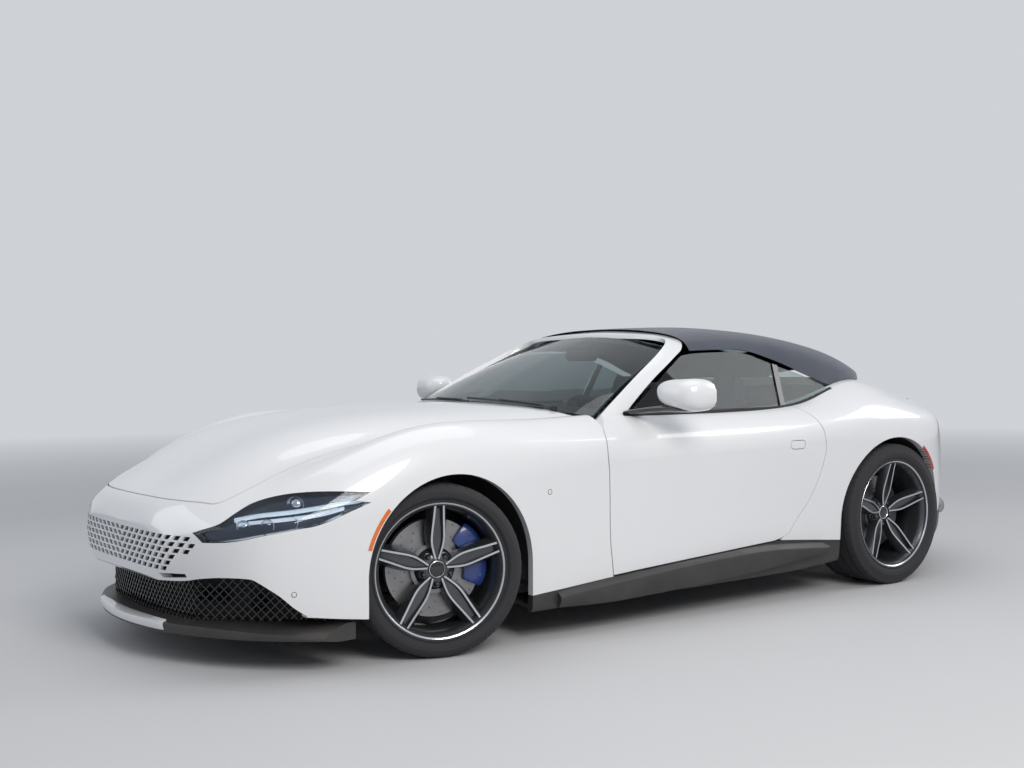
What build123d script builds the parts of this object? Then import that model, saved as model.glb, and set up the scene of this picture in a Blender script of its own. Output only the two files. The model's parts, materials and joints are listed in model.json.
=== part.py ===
from build123d import *
import math
import os

# Two-seat-plus-two roadster with a folding fabric top, front-mid engine and rear drive.
# Frame: +Z up, nose towards -Y, left side +X, ground at z = 0, y = 0 at mid-length. Millimetres.

# ---------------------------------------------------------------- driving dimensions
LENGTH = 4656
WHEELBASE = 2660
FRONT_OVERHANG = 980
NOSE_Y = -LENGTH / 2
AXLE_F = NOSE_Y + FRONT_OVERHANG  # y of the front axle (kingpins)
AXLE_R = AXLE_F + WHEELBASE  # y of the rear axle
TABLE_ZERO = AXLE_F - 20  # the outlines below are measured back from the middle of the parked front wheels
TRACK_F = 1652
TRACK_R = 1679
KINGPIN_X = 740
STEER_REST = -15  # degrees about +Z, wheels parked turned to the right
STEER_MAX = 33

TYRE_F = dict(radius=340, width=245, rim=203)
TYRE_R = dict(radius=354, width=285, rim=254)
BEAD_R = 254
LIP_R = 269

GAP = 6  # shut-line gap round every opening panel
SKIN = 32  # bonnet and lid thickness, measured straight down
SKIN_GAP = 8  # clear height under bonnet and lid
WELL_F_R = 412  # front wheel well, for the steered tyre
WELL_F_X = 505
WELL_R_R = 388
WELL_R_X = 640
ARCH_F = dict(y=AXLE_F + 5, z=335, r=380)
ARCH_R = dict(y=AXLE_R, z=354, r=388)

FLOOR_Z = 150
FLOOR_T = 30
CABIN_X = 770  # half-width of the cabin between the door trims
DASH_Y = AXLE_F + 680
BELT_Z = 905
JACK_PADS = (580, 2150)  # y of the lifting pads, measured back from the front axle
JACK_PAD_Z = 132
PLATE_HOLES = dict(x=90, z=640, r=3)

os.makedirs("parts", exist_ok=True)


# ---------------------------------------------------------------- helpers
def prism(points, vector):
    """Solid of a flat closed polygon of 3D points, extruded along a vector."""
    return Solid.extrude(Face(Wire.make_polygon([Vector(*p) for p in points], close=True)), Vector(*vector))


def side_prism(points, x0, x1):
    """Polygon of (y, z) as seen from the side, between two x planes."""
    return prism([(x0, y, z) for y, z in points], (x1 - x0, 0, 0))


def plan_prism(points, z0, z1):
    """Polygon of (x, y) as seen from above, between two heights."""
    return prism([(x, y, z0) for x, y in points], (0, 0, z1 - z0))


def front_prism(points, y0, y1):
    """Polygon of (x, z) as seen from the front, between two y planes."""
    return prism([(x, y0, z) for x, z in points], (0, y1 - y0, 0))


def both(points):
    """Half outline from centre line to centre line, completed by its mirror image."""
    return list(points) + [(-x, b) for x, b in reversed(points) if x > 0]


def box(x0, x1, y0, y1, z0, z1):
    return Solid.make_box(x1 - x0, y1 - y0, z1 - z0, Plane((x0, y0, z0)))


def ruled(sections):
    return Solid.make_loft([Wire.make_polygon([Vector(*p) for p in s], close=True) for s in sections], True)


def drum(x0, x1, y, z, r):
    """Cylinder along X."""
    return Solid.make_cylinder(r, x1 - x0, Plane((x0, y, z), x_dir=(0, 1, 0), z_dir=(1, 0, 0)))


def post(x, y, z0, z1, r):
    """Cylinder along Z."""
    return Solid.make_cylinder(r, z1 - z0, Plane((x, y, z0)))


def mirrored(shape):
    return shape.mirror(Plane.YZ)


def solids(shape):
    return list(shape.solids())


def save(name, *shapes):
    """Write one node; its solids stay separate bodies of one compound."""
    found = [s for shape in shapes for s in solids(shape) if s.volume > 500]
    export_step(found[0] if len(found) == 1 else Compound(found), f"parts/{name}.step")


# ---------------------------------------------------------------- outer body
# Half cross-sections from the centre line outwards and down to the sill:
# distance back, centre z, bonnet ridge (x, z), valley (x, z), wing crest (x, z),
# shoulder (x, z), widest point (x, z), lower side (x, z), bottom edge (x, z)
BODY = (
    (-960, 540, 110, 539, 190, 535, 250, 522, 290, 492, 305, 452, 290, 392, 240, 352),
    (-930, 598, 170, 596, 286, 584, 376, 558, 439, 525, 470, 480, 461, 400, 394, 332),
    (-880, 636, 209, 638, 382, 622, 500, 585, 582, 545, 612, 500, 602, 390, 546, 300),
    (-800, 668, 254, 684, 479, 655, 625, 602, 718, 558, 750, 512, 744, 380, 708, 250),
    (-700, 720, 300, 742, 540, 692, 712, 632, 800, 580, 832, 535, 828, 380, 805, 200),
    (-550, 800, 345, 818, 580, 742, 765, 712, 852, 628, 886, 565, 886, 380, 872, 180),
    (-400, 858, 375, 870, 608, 785, 790, 788, 882, 700, 920, 605, 922, 400, 915, 170),
    (-200, 905, 400, 907, 625, 826, 800, 866, 905, 780, 944, 650, 950, 400, 942, 160),
    (0, 932, 410, 927, 635, 856, 800, 908, 915, 828, 955, 680, 962, 420, 950, 150),
    (250, 950, 418, 938, 640, 876, 800, 914, 915, 838, 950, 690, 955, 420, 945, 150),
    (500, 957, 430, 940, 652, 882, 790, 906, 905, 828, 936, 690, 936, 420, 930, 150),
    (800, 950, 500, 935, 690, 896, 775, 908, 898, 822, 925, 690, 925, 420, 925, 150),
    (1100, 912, 500, 910, 690, 908, 772, 905, 892, 820, 920, 690, 918, 420, 925, 150),
    (1600, 904, 500, 903, 690, 902, 772, 900, 890, 820, 920, 695, 912, 420, 925, 150),
    (2000, 910, 500, 910, 690, 909, 776, 905, 905, 832, 938, 705, 918, 420, 925, 155),
    (2250, 950, 470, 950, 660, 945, 782, 925, 930, 858, 966, 725, 950, 430, 930, 170),
    (2450, 1010, 440, 1008, 640, 1000, 772, 975, 936, 885, 982, 745, 975, 440, 945, 190),
    (2660, 1052, 410, 1048, 610, 1036, 745, 1006, 930, 903, 987, 760, 985, 450, 960, 200),
    (2860, 1056, 390, 1048, 585, 1022, 700, 985, 902, 893, 978, 765, 976, 455, 955, 210),
    (3050, 1040, 370, 1024, 548, 974, 652, 942, 860, 868, 938, 762, 940, 460, 918, 220),
    (3180, 1020, 355, 1000, 530, 952, 625, 922, 792, 856, 868, 758, 872, 465, 852, 232),
    (3310, 988, 338, 966, 498, 926, 585, 893, 712, 834, 778, 752, 784, 472, 768, 248),
    (3440, 964, 316, 940, 465, 902, 534, 868, 622, 812, 680, 738, 686, 480, 672, 265),
    (3560, 945, 285, 925, 415, 885, 480, 845, 540, 790, 586, 728, 592, 490, 580, 285),
    (3645, 925, 230, 905, 320, 868, 380, 828, 425, 775, 455, 716, 460, 500, 450, 305),
    (3696, 880, 150, 868, 210, 842, 260, 812, 295, 765, 310, 712, 312, 510, 305, 330),
)


def at(offset):
    """y of a place measured back from the middle of the parked front wheels."""
    return TABLE_ZERO + offset


def body_section(row):
    y = at(row[0])
    half = [(0, row[1])] + [(row[i], row[i + 1]) for i in range(2, 16, 2)]
    ring = half + [(-x, z) for x, z in reversed(half[1:])]
    return [(x, y, z) for x, z in ring]


body = ruled([body_section(row) for row in BODY])
body_low = body.moved(Location((0, 0, -SKIN)))
body_lower = body.moved(Location((0, 0, -SKIN - SKIN_GAP)))


# ---------------------------------------------------------------- shut lines
# Bonnet from above (x, y from the front axle), half outline from the nose to the screen.
BONNET = ((0, -890), (220, -888), (384, -865), (500, -825), (571, -785), (604, -690), (614, -560),
          (620, -400),
          (624, -192), (626, 8), (632, 300), (642, 560), (680, 842), (560, 790), (300, 735), (0, 716))
# The same outline grown by the shut-line gap.
BONNET_HOLE = ((0, -896), (221, -894), (386, -871), (503, -830), (575, -790), (610, -692), (620, -560),
               (626, -400), (630, -192), (632, 8), (638, 300), (648, 560), (687, 850), (559, 797),
               (299, 742),
               (0, 723))
# Door from the side (y from the front axle, z), front line upwards then back along the belt.
DOOR = ((850, 232), (847, 275), (838, 383), (837, 553), (834, 681), (830, 767), (849, 849), (906, 900),
        (960, 1000),
        (2110, 1000), (2180, 918), (2177, 882), (2176, 835), (2187, 763), (2190, 690), (2160, 580),
        (2104, 462),
        (2028, 380), (1967, 313), (1880, 288))
DOOR_FRONT_POINTS = 9
DOOR_REAR_TAPER = 60  # the rear edge draws in towards the cabin, so that it swings clear
# Sill top line from the side.
SILL_TOP = ((396, 196), (600, 208), (870, 226), (1370, 264), (1750, 282), (1900, 284), (2100, 268),
            (2300, 252))
# Boot lid from above.
LID = ((0, 3195), (250, 3185), (430, 3150), (505, 3200), (480, 3400), (395, 3530), (250, 3590), (0, 3604))
LID_HOLE = ((0, 3189), (251, 3179), (432, 3143), (512, 3198), (487, 3402), (400, 3535), (252, 3596),
            (0, 3610))
# Foot of the folded-up fabric top on the body, from above.
TOP_FOOT = ((0, 3150), (200, 3128), (360, 3070), (500, 2970), (600, 2840), (660, 2700), (690, 2560),
            (705, 2440))
TOP_EDGE_T = 16


def shifted(points, dy=0.0):
    return [(a, at(b) + dy) for a, b in points]


def side_outline(points):
    return [(at(y), z) for y, z in points]


def door_cutter(grow):
    """Tapered block of the left door: the door itself at grow = 0, its opening at grow = GAP."""
    outer, inner = [], []
    for i, (y, z) in enumerate(DOOR):
        front = i < DOOR_FRONT_POINTS
        dy = -grow if front else grow
        dz = -grow if z < 300 else 0
        taper = 0 if front else DOOR_REAR_TAPER
        outer.append((1030, at(y) + dy, z + dz))
        inner.append((CABIN_X - 40, at(y) + dy - taper, z + dz))
    return ruled([outer, inner])


sill_band = side_outline(SILL_TOP)
well_f = (drum(WELL_F_X, 905, AXLE_F, TYRE_F["radius"], WELL_F_R)
          + drum(900, 1100, ARCH_F["y"], ARCH_F["z"], ARCH_F["r"]))
well_f_low = box(WELL_F_X, 905, AXLE_F - WELL_F_R, AXLE_F + WELL_F_R, 0, TYRE_F["radius"])
arch_f_low = box(900, 1100, ARCH_F["y"] - ARCH_F["r"], ARCH_F["y"] + ARCH_F["r"], 0, ARCH_F["z"])
well_f = well_f + well_f_low + arch_f_low
well_r = drum(WELL_R_X, 1100, AXLE_R, ARCH_R["z"], WELL_R_R)
well_r = well_r + box(WELL_R_X, 1100, AXLE_R - WELL_R_R, AXLE_R + WELL_R_R, 0, ARCH_R["z"])
COWL = ((0, 730), (300, 749), (560, 804), (650, 847), (650, 900), (600, 880), (0, 800))
cowl_zone = plan_prism(both(shifted(COWL)), 700, 1000)
bonnet_hole = plan_prism(both(shifted(BONNET_HOLE)), 300, 1300) - body_lower
lid_hole = plan_prism(both(shifted(LID_HOLE)), 500, 1300) - body_lower
top_well = plan_prism(both(shifted(((0, 3150),) + TOP_FOOT[1:] + ((705, 2000), (0, 2000)))), 820, 1400)

# ---------------------------------------------------------------- bonnet and boot lid
bonnet = (body & plan_prism(both(shifted(BONNET)), 300, 1300)) - body_low
save("bonnet", bonnet)
boot_lid = (body & plan_prism(both(shifted(LID)), 500, 1300)) - body_low
save("boot_lid", boot_lid)

# ---------------------------------------------------------------- doors
door_block = door_cutter(0)
door_hole = door_cutter(GAP)
door_left = body & door_block & box(CABIN_X, 1100, at(700), at(2400), 100, 1000)
# low inner edge, clear of the sill when open
door_left = door_left - box(760, 905, at(840), at(1030), 200, 252)
save("door_left", door_left)
save("door_right", mirrored(door_left))

# ---------------------------------------------------------------- fenders, quarters and sills
FENDER_IN = 655
HEADLAMP = ((-893, 527), (-866, 544), (-827, 564), (-774, 598), (-706, 635), (-628, 661), (-555, 673),
            (-461, 675), (-340, 668), (-400, 639), (-340, 630), (-414, 603), (-536, 558), (-624, 545),
            (-723, 527), (-817, 502), (-877, 494))
NOSE_SEAM = -695  # seam between bumper and fender above the headlamp
lamp_band = side_prism(side_outline(HEADLAMP), 560, 1100)
fender_zone = side_outline(((NOSE_SEAM, 1100), (850, 1100), (850, 226), (600, 208), (396, 196), (200, 300),
                            (-180, 560), (-255, 657), (NOSE_SEAM, 657)))
mirror_foot = side_outline(((849, 830), (849, 1100), (960, 1100), (960, 830)))
fender_left = (body & side_prism(fender_zone, FENDER_IN, 1100)) + (body & side_prism(mirror_foot, 792, 1100))
fender_left = fender_left - well_f - bonnet_hole - door_hole - lamp_band
# Thin strip of the wing between the bonnet's edge and the deep outer block
STRIP = ((520, NOSE_SEAM), (FENDER_IN, NOSE_SEAM), (FENDER_IN, 850), (520, 850))
strip_zone = plan_prism(shifted(STRIP), 657, 1100)
wing_strip = ((body & strip_zone) - body_low) - bonnet_hole - well_f - lamp_band - cowl_zone
fender_left = fender_left + wing_strip
save("fenders", fender_left, mirrored(fender_left))

sill_left = body & side_prism([(at(396), 100)] + sill_band + [(at(2300), 100)], 700, 1100)
# Blade that stands out from the sill: distance back, top z, outer x, low z
SILL_BLADE = ((540, 196, 958, 128), (700, 212, 962, 122), (900, 228, 962, 120), (1370, 262, 968, 138),
              (1750, 276, 980, 165), (2000, 266, 990, 190), (2165, 256, 992, 200))
blade = ruled([[(890, at(s), top), (x - 4, at(s), top - 16), (x, at(s), top - 24), (x - 3, at(s), low + 26),
                (x - 16, at(s), low + 4), (890, at(s), low - 6)] for s, top, x, low in SILL_BLADE])
door_step = box(740, 890, at(852), at(1060), 214, 320)  # the sill is lower under the front of the door
sill_left = sill_left + blade - well_f - well_r - door_hole - door_step
for pad_y in JACK_PADS:
    sill_left = sill_left + box(760, 840, at(pad_y) - 40, at(pad_y) + 40, JACK_PAD_Z, 185)
save("sills", sill_left, mirrored(sill_left))

quarter_zone = side_outline(((1900, 286), (1900, 1200), (3320, 1200), (3320, 690), (3060, 600), (3060, 180),
                             (2300, 180), (2300, 254), (2100, 270)))
quarter_left = body & side_prism(quarter_zone, 700, 1100)
quarter_left = quarter_left - well_r - door_hole - top_well - lid_hole
save("quarter_panels", quarter_left, mirrored(quarter_left))

# ---------------------------------------------------------------- rear deck, bumper, lamps, diffuser
deck_zone = box(-700, 700, at(2450), at(3700), 700, 1200)
deck = (body & deck_zone) - body_low - top_well - plan_prism(both(shifted(LID_HOLE)), 500, 1300)
bumper_top_y = at(3320)
tonneau_deck = deck & box(-700, 700, at(2440), bumper_top_y, 700, 1200)
save("tonneau_deck", tonneau_deck)

# Four round tail pipes: distance from the centre line and where each ends (y from the front axle)
TAILPIPES = ((455, 3620), (565, 3585))
PIPE_Z = 296
PIPE_R = 44
exhaust = box(-540, 540, at(3335), at(3480), 272, 400)
pipe_holes = []
for pipe_x, pipe_end in TAILPIPES:
    for side in (-1, 1):
        start = Plane((side * pipe_x, at(3479), PIPE_Z), z_dir=(0, 1, 0))
        exhaust = exhaust + Solid.make_cylinder(PIPE_R, at(pipe_end) - at(3479), start)
        mouth = Plane((side * pipe_x, at(pipe_end - 60), PIPE_Z), z_dir=(0, 1, 0))
        exhaust = exhaust - Solid.make_cylinder(PIPE_R - 4, 80, mouth)
        pipe_holes.append(Solid.make_cylinder(PIPE_R + 6, 400, start))
save("exhaust", exhaust)

rear_zone = side_outline(((3320, 1100), (3760, 1100), (3760, 150), (3060, 150), (3060, 600), (3320, 690)))
# Black lower rear from behind: it climbs towards the corners.
DIFFUSER_TOP = ((0, 328), (300, 328), (430, 395), (560, 470), (900, 492), (900, 100), (0, 100))
diffuser_zone = front_prism(both(DIFFUSER_TOP), at(3390), at(3800))
diffuser_zone = diffuser_zone + box(-900, 900, at(3060), at(3391), 100, 328)
rear_bumper = (body & side_prism(rear_zone, -1100, 1100)) - diffuser_zone
REAR_CORE = ((0, 2900), (640, 2900), (640, 3330), (560, 3450), (380, 3540), (0, 3600))
rear_inner = plan_prism(both(shifted(REAR_CORE)), 100, 860)
rear_bumper = rear_bumper - rear_inner - lid_hole - well_r - mirrored(well_r)
LAMP_LINES = ((798, 814), (824, 838))  # low and high z of the two slim tail lamp strips
lamp_cut = None
for low, high in LAMP_LINES:
    strip = front_prism(((318, low), (690, low - 4), (690, high - 4), (330, high)), at(3200), at(3800))
    lamp_cut = strip if lamp_cut is None else lamp_cut + strip
tail_lamps = ((body & lamp_cut) - rear_inner - lid_hole) & box(0, 700, at(3322), at(3800), 700, 900)
plate_cut = front_prism(both(((0, 560), (270, 560), (290, 690), (0, 690))), at(3655), at(3800))
rear_bumper = rear_bumper - lamp_cut - mirrored(lamp_cut) - plate_cut
for hole in pipe_holes:
    rear_bumper = rear_bumper - hole
for side in (-1, 1):
    screw = Plane((side * PLATE_HOLES["x"], at(3635), PLATE_HOLES["z"]), z_dir=(0, 1, 0))
    rear_bumper = rear_bumper - Solid.make_cylinder(PLATE_HOLES["r"], 40, screw)
save("rear_bumper", rear_bumper)
save("tail_lamps", tail_lamps, mirrored(tail_lamps))

FIN_X = (70, 200, 330)
FIN = ((3300, 258), (3495, 264), (3640, 300), (3660, 262), (3560, 205), (3330, 225))
diffuser = body & diffuser_zone
diffuser = diffuser - box(-560, 560, at(3000), at(3520), 262, 600) - well_r - mirrored(well_r)
diffuser = diffuser - plan_prism(both(shifted(REAR_CORE)), 300, 600)
for fin_x in FIN_X:
    for side in (-1, 1):
        diffuser = diffuser + side_prism(side_outline(FIN), side * fin_x - 5, side * fin_x + 5)
for hole in pipe_holes:
    diffuser = diffuser - hole
save("diffuser", diffuser)

# ---------------------------------------------------------------- nose: bumper, grilles, lamps, splitter
GRILLE = ((0, 364), (360, 371), (440, 376), (520, 396), (592, 458), (618, 492), (590, 515), (565, 528),
          (300, 532), (0, 528))
GRILLE_T = 16
MOUTH = ((0, 176), (880, 198), (871, 218), (854, 253), (831, 309), (796, 357), (767, 369), (680, 368),
         (591, 357),
         (495, 340), (361, 330), (250, 322), (0, 318))
CHIN_SLOT = ((384, 342), (524, 356), (519, 369), (370, 360))  # on the left side only
HEADLAMP_DEPTH = 60

NOSE_SIDE = ((-1010, 100), (-1010, 700), (NOSE_SEAM, 900), (NOSE_SEAM, 657), (-255, 657), (-180, 560),
             (-180, 188), (-363, 194), (-465, 205), (-571, 218), (-600, 218), (-600, 100))
nose_zone = side_outline(NOSE_SIDE)
nose = body & side_prism(nose_zone, -1100, 1100)
grille_cut = front_prism(both(GRILLE), at(-1000), at(-700))
mouth_cut = front_prism(both(MOUTH), at(-1000), at(-560))
slot_cut = front_prism(CHIN_SLOT, at(-1000), at(-800))
NOSE_CORE = ((0, -900), (330, -880), (500, -830), (560, -760), (560, -180), (0, -180))
NOSE_CORE_TOP = ((0, -700), (560, -700), (560, -435), (654, -435), (654, -180), (0, -180))
nose_inner = (plan_prism(both(shifted(NOSE_CORE)), 215, 560)
              + plan_prism(both(shifted(NOSE_CORE_TOP)), 540, 700))
# Blade under the bumper: x, distance back of its leading edge and of its rear edge, z of the edge and of
# the top
SPLITTER = ((0, -972, -700, 164, 170), (150, -963, -700, 164, 170), (300, -938, -690, 163, 172),
            (450, -882, -640, 162, 176), (600, -806, -560, 160, 178), (730, -706, -470, 152, 180),
            (830, -602, -400, 146, 182), (893, -520, -355, 140, 184))


def splitter_section(x, lead, rear, edge, top):
    profile = ((0, edge - 12), (0.02, edge), (0.15, (edge + top) / 2), (0.45, top), (1, top),
               (1, 120), (0.25, 118), (0.04, 124))
    return [(x, at(lead + share * (rear - lead)), z) for share, z in profile]


splitter_rows = [(-row[0],) + row[1:] for row in reversed(SPLITTER[1:])] + list(SPLITTER)
splitter = ruled([splitter_section(*row) for row in splitter_rows]) - well_f - mirrored(well_f)
save("splitter", splitter)
bumper = nose - nose_inner - bonnet_hole - well_f - mirrored(well_f)
bumper = bumper - grille_cut - mouth_cut - slot_cut - lamp_band - mirrored(lamp_band)
lamp_left = (body & lamp_band) - body.moved(Location((-HEADLAMP_DEPTH, HEADLAMP_DEPTH, 0)))
lamp_left = lamp_left - bonnet_hole - well_f
save("front_bumper", bumper)
save("headlamps", lamp_left, mirrored(lamp_left))
nose_grille = (body & grille_cut) - body.moved(Location((0, GRILLE_T, 0)))
nose_grille = nose_grille & box(-630, 630, at(-1000), at(-760), 300, 600)
# Slanted openings of the grille: seven rows, every other one shifted by half a cell
GRILLE_ROWS = 6
CELL_PITCH = (51, 24)
CELL = (17, 8.5, 7)  # half width, half height, slant
openings = []
for row in range(GRILLE_ROWS):
    z = 382 + row * CELL_PITCH[1]
    reach = (430 + (z - 376) * 1.85 if z < 480 else 622 - (z - 480) * 1.2) - 38
    for column in range(-12, 13):
        x = (column + (0.5 if row % 2 else 0)) * CELL_PITCH[0]
        if abs(x) > reach:
            continue
        slant = math.copysign(CELL[2], x)
        cell = ((x - CELL[0] - slant, z - CELL[1]), (x + CELL[0] - slant, z - CELL[1]),
                (x + CELL[0] + slant, z + CELL[1]), (x - CELL[0] + slant, z + CELL[1]))
        openings.append(front_prism(cell, at(-1000), at(-780)))
nose_grille = nose_grille.cut(*openings, lamp_band, mirrored(lamp_band))
save("nose_grille", nose_grille)
# Lower grille: a middle plate and two angled ones, with rows of diamond openings
lower_grille = front_prism(both(MOUTH), at(-860), at(-846)) & box(-450, 450, at(-900), at(-800), 0, 400)
GRILLE_WING = ((452, -854), (830, -575), (830, -561), (452, -838))
lower_wing = plan_prism(shifted(GRILLE_WING), 100, 400)
lower_wing = lower_wing & front_prism(both(MOUTH), at(-1000), at(-500))
DIAMOND = (22, 13)
diamonds = []
for row in range(5):
    z = 212 + row * 28
    for column in range(-15, 16):
        x = (column + (0.5 if row % 2 else 0)) * 52
        if abs(abs(x) - 451) < 30 or abs(x) > 800 - (z - 212) * 0.5 or (z > 295 and abs(x) < 450):
            continue
        diamonds.append(front_prism(((x - DIAMOND[0], z), (x, z - DIAMOND[1]), (x + DIAMOND[0], z),
                                     (x, z + DIAMOND[1])), at(-1000), at(-500)))
lower_grille = lower_grille.cut(*diamonds)
lower_wings = [lower_wing.cut(*diamonds), mirrored(lower_wing).cut(*diamonds)]
save("lower_grille", lower_grille, *lower_wings)
radiator = box(-430, 430, at(-740), at(-695), 225, 540)
save("radiator", radiator)

# ---------------------------------------------------------------- floor, bulkheads, inner structure
SIDE_IN = 650  # inner structure stops here beside the footwell
rail = box(340, 425, at(-640), DASH_Y, 235, 320)
apron = box(450, SIDE_IN, AXLE_F - 430, AXLE_F + 430, 620, 780)
apron_front = box(425, 555, at(-500), AXLE_F - 432, 235, 780)
apron_rear = box(425, SIDE_IN, AXLE_F + 430, DASH_Y, 235, 780)
front_side = ((rail + apron + apron_front + apron_rear) & body_lower) - well_f - bonnet_hole
floor = box(-SIDE_IN, SIDE_IN, DASH_Y, at(860), FLOOR_Z, FLOOR_Z + FLOOR_T)
floor = floor + box(-698, 698, at(860), at(2440), FLOOR_Z, FLOOR_Z + FLOOR_T)
bulkhead = box(-SIDE_IN, SIDE_IN, DASH_Y, DASH_Y + 25, FLOOR_Z, 836)
rear_bulkhead = box(-698, 698, at(2415), at(2440), FLOOR_Z, 905)
boot_floor = box(-620, 620, at(2440), at(3290), 420, 446)
wheelhouse = (box(600, 698, AXLE_R - 220, AXLE_R + 366, 446, 815) - well_r
              - box(590, 645, AXLE_R - 200, AXLE_R + 200, 440, 600))
side_frame = front_side + wheelhouse
floor_tub = (floor + bulkhead + rear_bulkhead + boot_floor - well_r - mirrored(well_r) + side_frame
             + mirrored(side_frame))
save("floor_tub", floor_tub)
cowl_panel = (body & cowl_zone) - body_low
save("cowl_panel", cowl_panel)
engine_block = box(-290, 290, at(70), at(650), 270, 800)
save("engine_block", engine_block)

# ---------------------------------------------------------------- windscreen, its frame and the fabric top
SCREEN_BASE = ((0, 740), (350, 765), (600, 825), (740, 890))
SCREEN_HEAD = ((0, 1496), (250, 1500), (420, 1512), (552, 1526))
GLASS_SHIFT = (11, 6.5)


def base_z(y):
    return 935 - 0.2065 * (y - 740)


def head_z(y):
    return 1262 - 1.7 * (y - 1496)


def screen_ring(curve, height, shift, start=0.0):
    """Band of the screen: outer curve one way, inner curve back, mirrored about the centre line."""
    outer = [(x, y) for x, y in curve]
    outer = [(-x, y) for x, y in reversed(outer[1:])] + outer
    points = [(x, at(y + start), height(y + start)) for x, y in outer]
    return points + [(x, at(y + start + shift), height(y + start + shift)) for x, y in reversed(outer)]


windscreen_glass = ruled([screen_ring(SCREEN_BASE, base_z, GLASS_SHIFT[0]),
                          screen_ring(SCREEN_HEAD, head_z, GLASS_SHIFT[1])])

# Pillar and header as one frame: outer front, outer rear, inner rear and inner front corner (x, distance
# back, z)
FRAME_PATH = (
    ((779, 880, 880), (776, 1040, 880), (728, 1040, 880), (745, 892, 880)),
    ((752, 968, 938), (757, 1090, 926), (712, 1100, 926), (722, 980, 932)),
    ((694, 1175, 1062), (716, 1262, 1045), (676, 1280, 1040), (668, 1190, 1052)),
    ((620, 1395, 1178), (668, 1446, 1150), (630, 1470, 1142), (598, 1412, 1164)),
    ((556, 1500, 1236), (622, 1546, 1204), (592, 1572, 1190), (545, 1512, 1214)),
    ((470, 1516, 1256), (540, 1588, 1246), (530, 1592, 1224), (462, 1510, 1236)),
    ((320, 1508, 1268), (350, 1590, 1276), (345, 1592, 1252), (315, 1500, 1246)),
    ((0, 1500, 1274), (0, 1590, 1292), (0, 1592, 1268), (0, 1490, 1252)),
)
frame_left = [[(x, at(s), z) for x, s, z in section] for section in FRAME_PATH]
frame_right = [[(-x, y, z) for x, y, z in section] for section in frame_left[:-1]]
header = ruled(frame_right + list(reversed(frame_left)))
mirror_stalk = ruled([[(-9, at(1500), 1262), (9, at(1500), 1262), (9, at(1530), 1266), (-9, at(1530), 1266)],
                      [(-9, at(1440), 1176), (9, at(1440), 1176), (9, at(1452), 1166),
                       (-9, at(1452), 1166)]])
cabin_mirror = box(-115, 115, at(1428), at(1446), 1136, 1194) + mirror_stalk
windscreen_frame = header + cabin_mirror

# Fabric top: y from the front axle, then half outline (x, z) from its lower edge to the centre line
TOP = (
    (1596, 638, 1184, 590, 1228, 478, 1264, 250, 1287, 0, 1293),
    (1760, 636, 1188, 588, 1238, 474, 1276, 250, 1296, 0, 1301),
    (1950, 634, 1184, 588, 1239, 470, 1277, 250, 1299, 0, 1305),
    (2150, 652, 1130, 600, 1214, 470, 1263, 250, 1288, 0, 1297),
    (2340, 680, 1060, 615, 1176, 472, 1240, 250, 1270, 0, 1282),
    (2530, 686, 1000, 630, 1130, 480, 1206, 250, 1246, 0, 1260),
    (2700, 652, 1010, 622, 1088, 485, 1166, 250, 1215, 0, 1232),
    (2850, 586, 1020, 565, 1068, 460, 1124, 250, 1178, 0, 1200),
    (2990, 470, 1020, 455, 1060, 385, 1088, 230, 1130, 0, 1155),
    (3100, 300, 1020, 290, 1052, 250, 1072, 150, 1092, 0, 1106),
)


def top_section(row, inset):
    outer = [(row[i] - inset * k, row[i + 1] - inset * (1 - k)) for i,
             k in zip((1, 3, 5, 7, 9), (1, 0.6, 0.25, 0.1, 0))]
    outer[0] = (row[1] - inset, row[2])
    ring = outer + [(-x, z) for x, z in reversed(outer[:-1])]
    return [(x, at(row[0]), z) for x, z in ring]


def top_band(row):
    return top_section(row, 0) + list(reversed(top_section(row, TOP_EDGE_T)))


top_shell = ruled([top_band(row) for row in TOP])
top_tail = prism([(x, at(3100), z) for x, z in ((-300, 1020), (-290, 1052), (-250, 1072), (-150, 1092), (0, 1106),
                  (150, 1092), (250, 1072), (290, 1052), (300, 1020))], (0, 16, 0))
window = plan_prism(both(shifted(((0, 2610), (290, 2620), (340, 2660), (330, 2840), (0, 2860)))), 1100, 1300)
soft_top = (top_shell + top_tail) - window - quarter_left - mirrored(quarter_left) - tonneau_deck - header
rear_glass = (top_shell & window) & top_shell.moved(Location((0, 0, -8)))
save("soft_top", soft_top)
save("rear_glass", rear_glass)

# ---------------------------------------------------------------- side glass
GLASS_T = 5
LEAN = 0.48  # the side glass leans in by this much for each unit of height


def leaning(points):
    pts = [(772 - LEAN * (z - BELT_Z), at(y), z) for y, z in points]
    n = math.hypot(1, LEAN)
    return prism(pts, (-GLASS_T / n, 0, -GLASS_T * LEAN / n))


door_glass = leaning(((1068, 880), (1078, 908), (1518, 1162), (1600, 1168), (1760, 1174), (1930, 1170),
                      (2106, 1118),
                      (2050, 912), (2030, 880)))
door_glass_left = door_glass - door_left
quarter_glass = leaning(((2078, 880), (2136, 1108), (2330, 1042), (2480, 980), (2480, 880)))
quarter_glass = (quarter_glass - quarter_left - soft_top
                 - (door_hole & box(700, 1100, at(1900), at(2300), 800, 926)))
save("door_glass_left", door_glass_left)
save("door_glass_right", mirrored(door_glass_left))
save("quarter_glass", quarter_glass, mirrored(quarter_glass))
windscreen_frame = (windscreen_frame - fender_left - mirrored(fender_left) - cowl_panel - windscreen_glass
                    - bonnet)
windscreen_frame = windscreen_frame - door_hole - mirrored(door_hole)
save("windscreen_frame", windscreen_frame)
save("windscreen_glass", windscreen_glass - fender_left - mirrored(fender_left) - cowl_panel)

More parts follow.
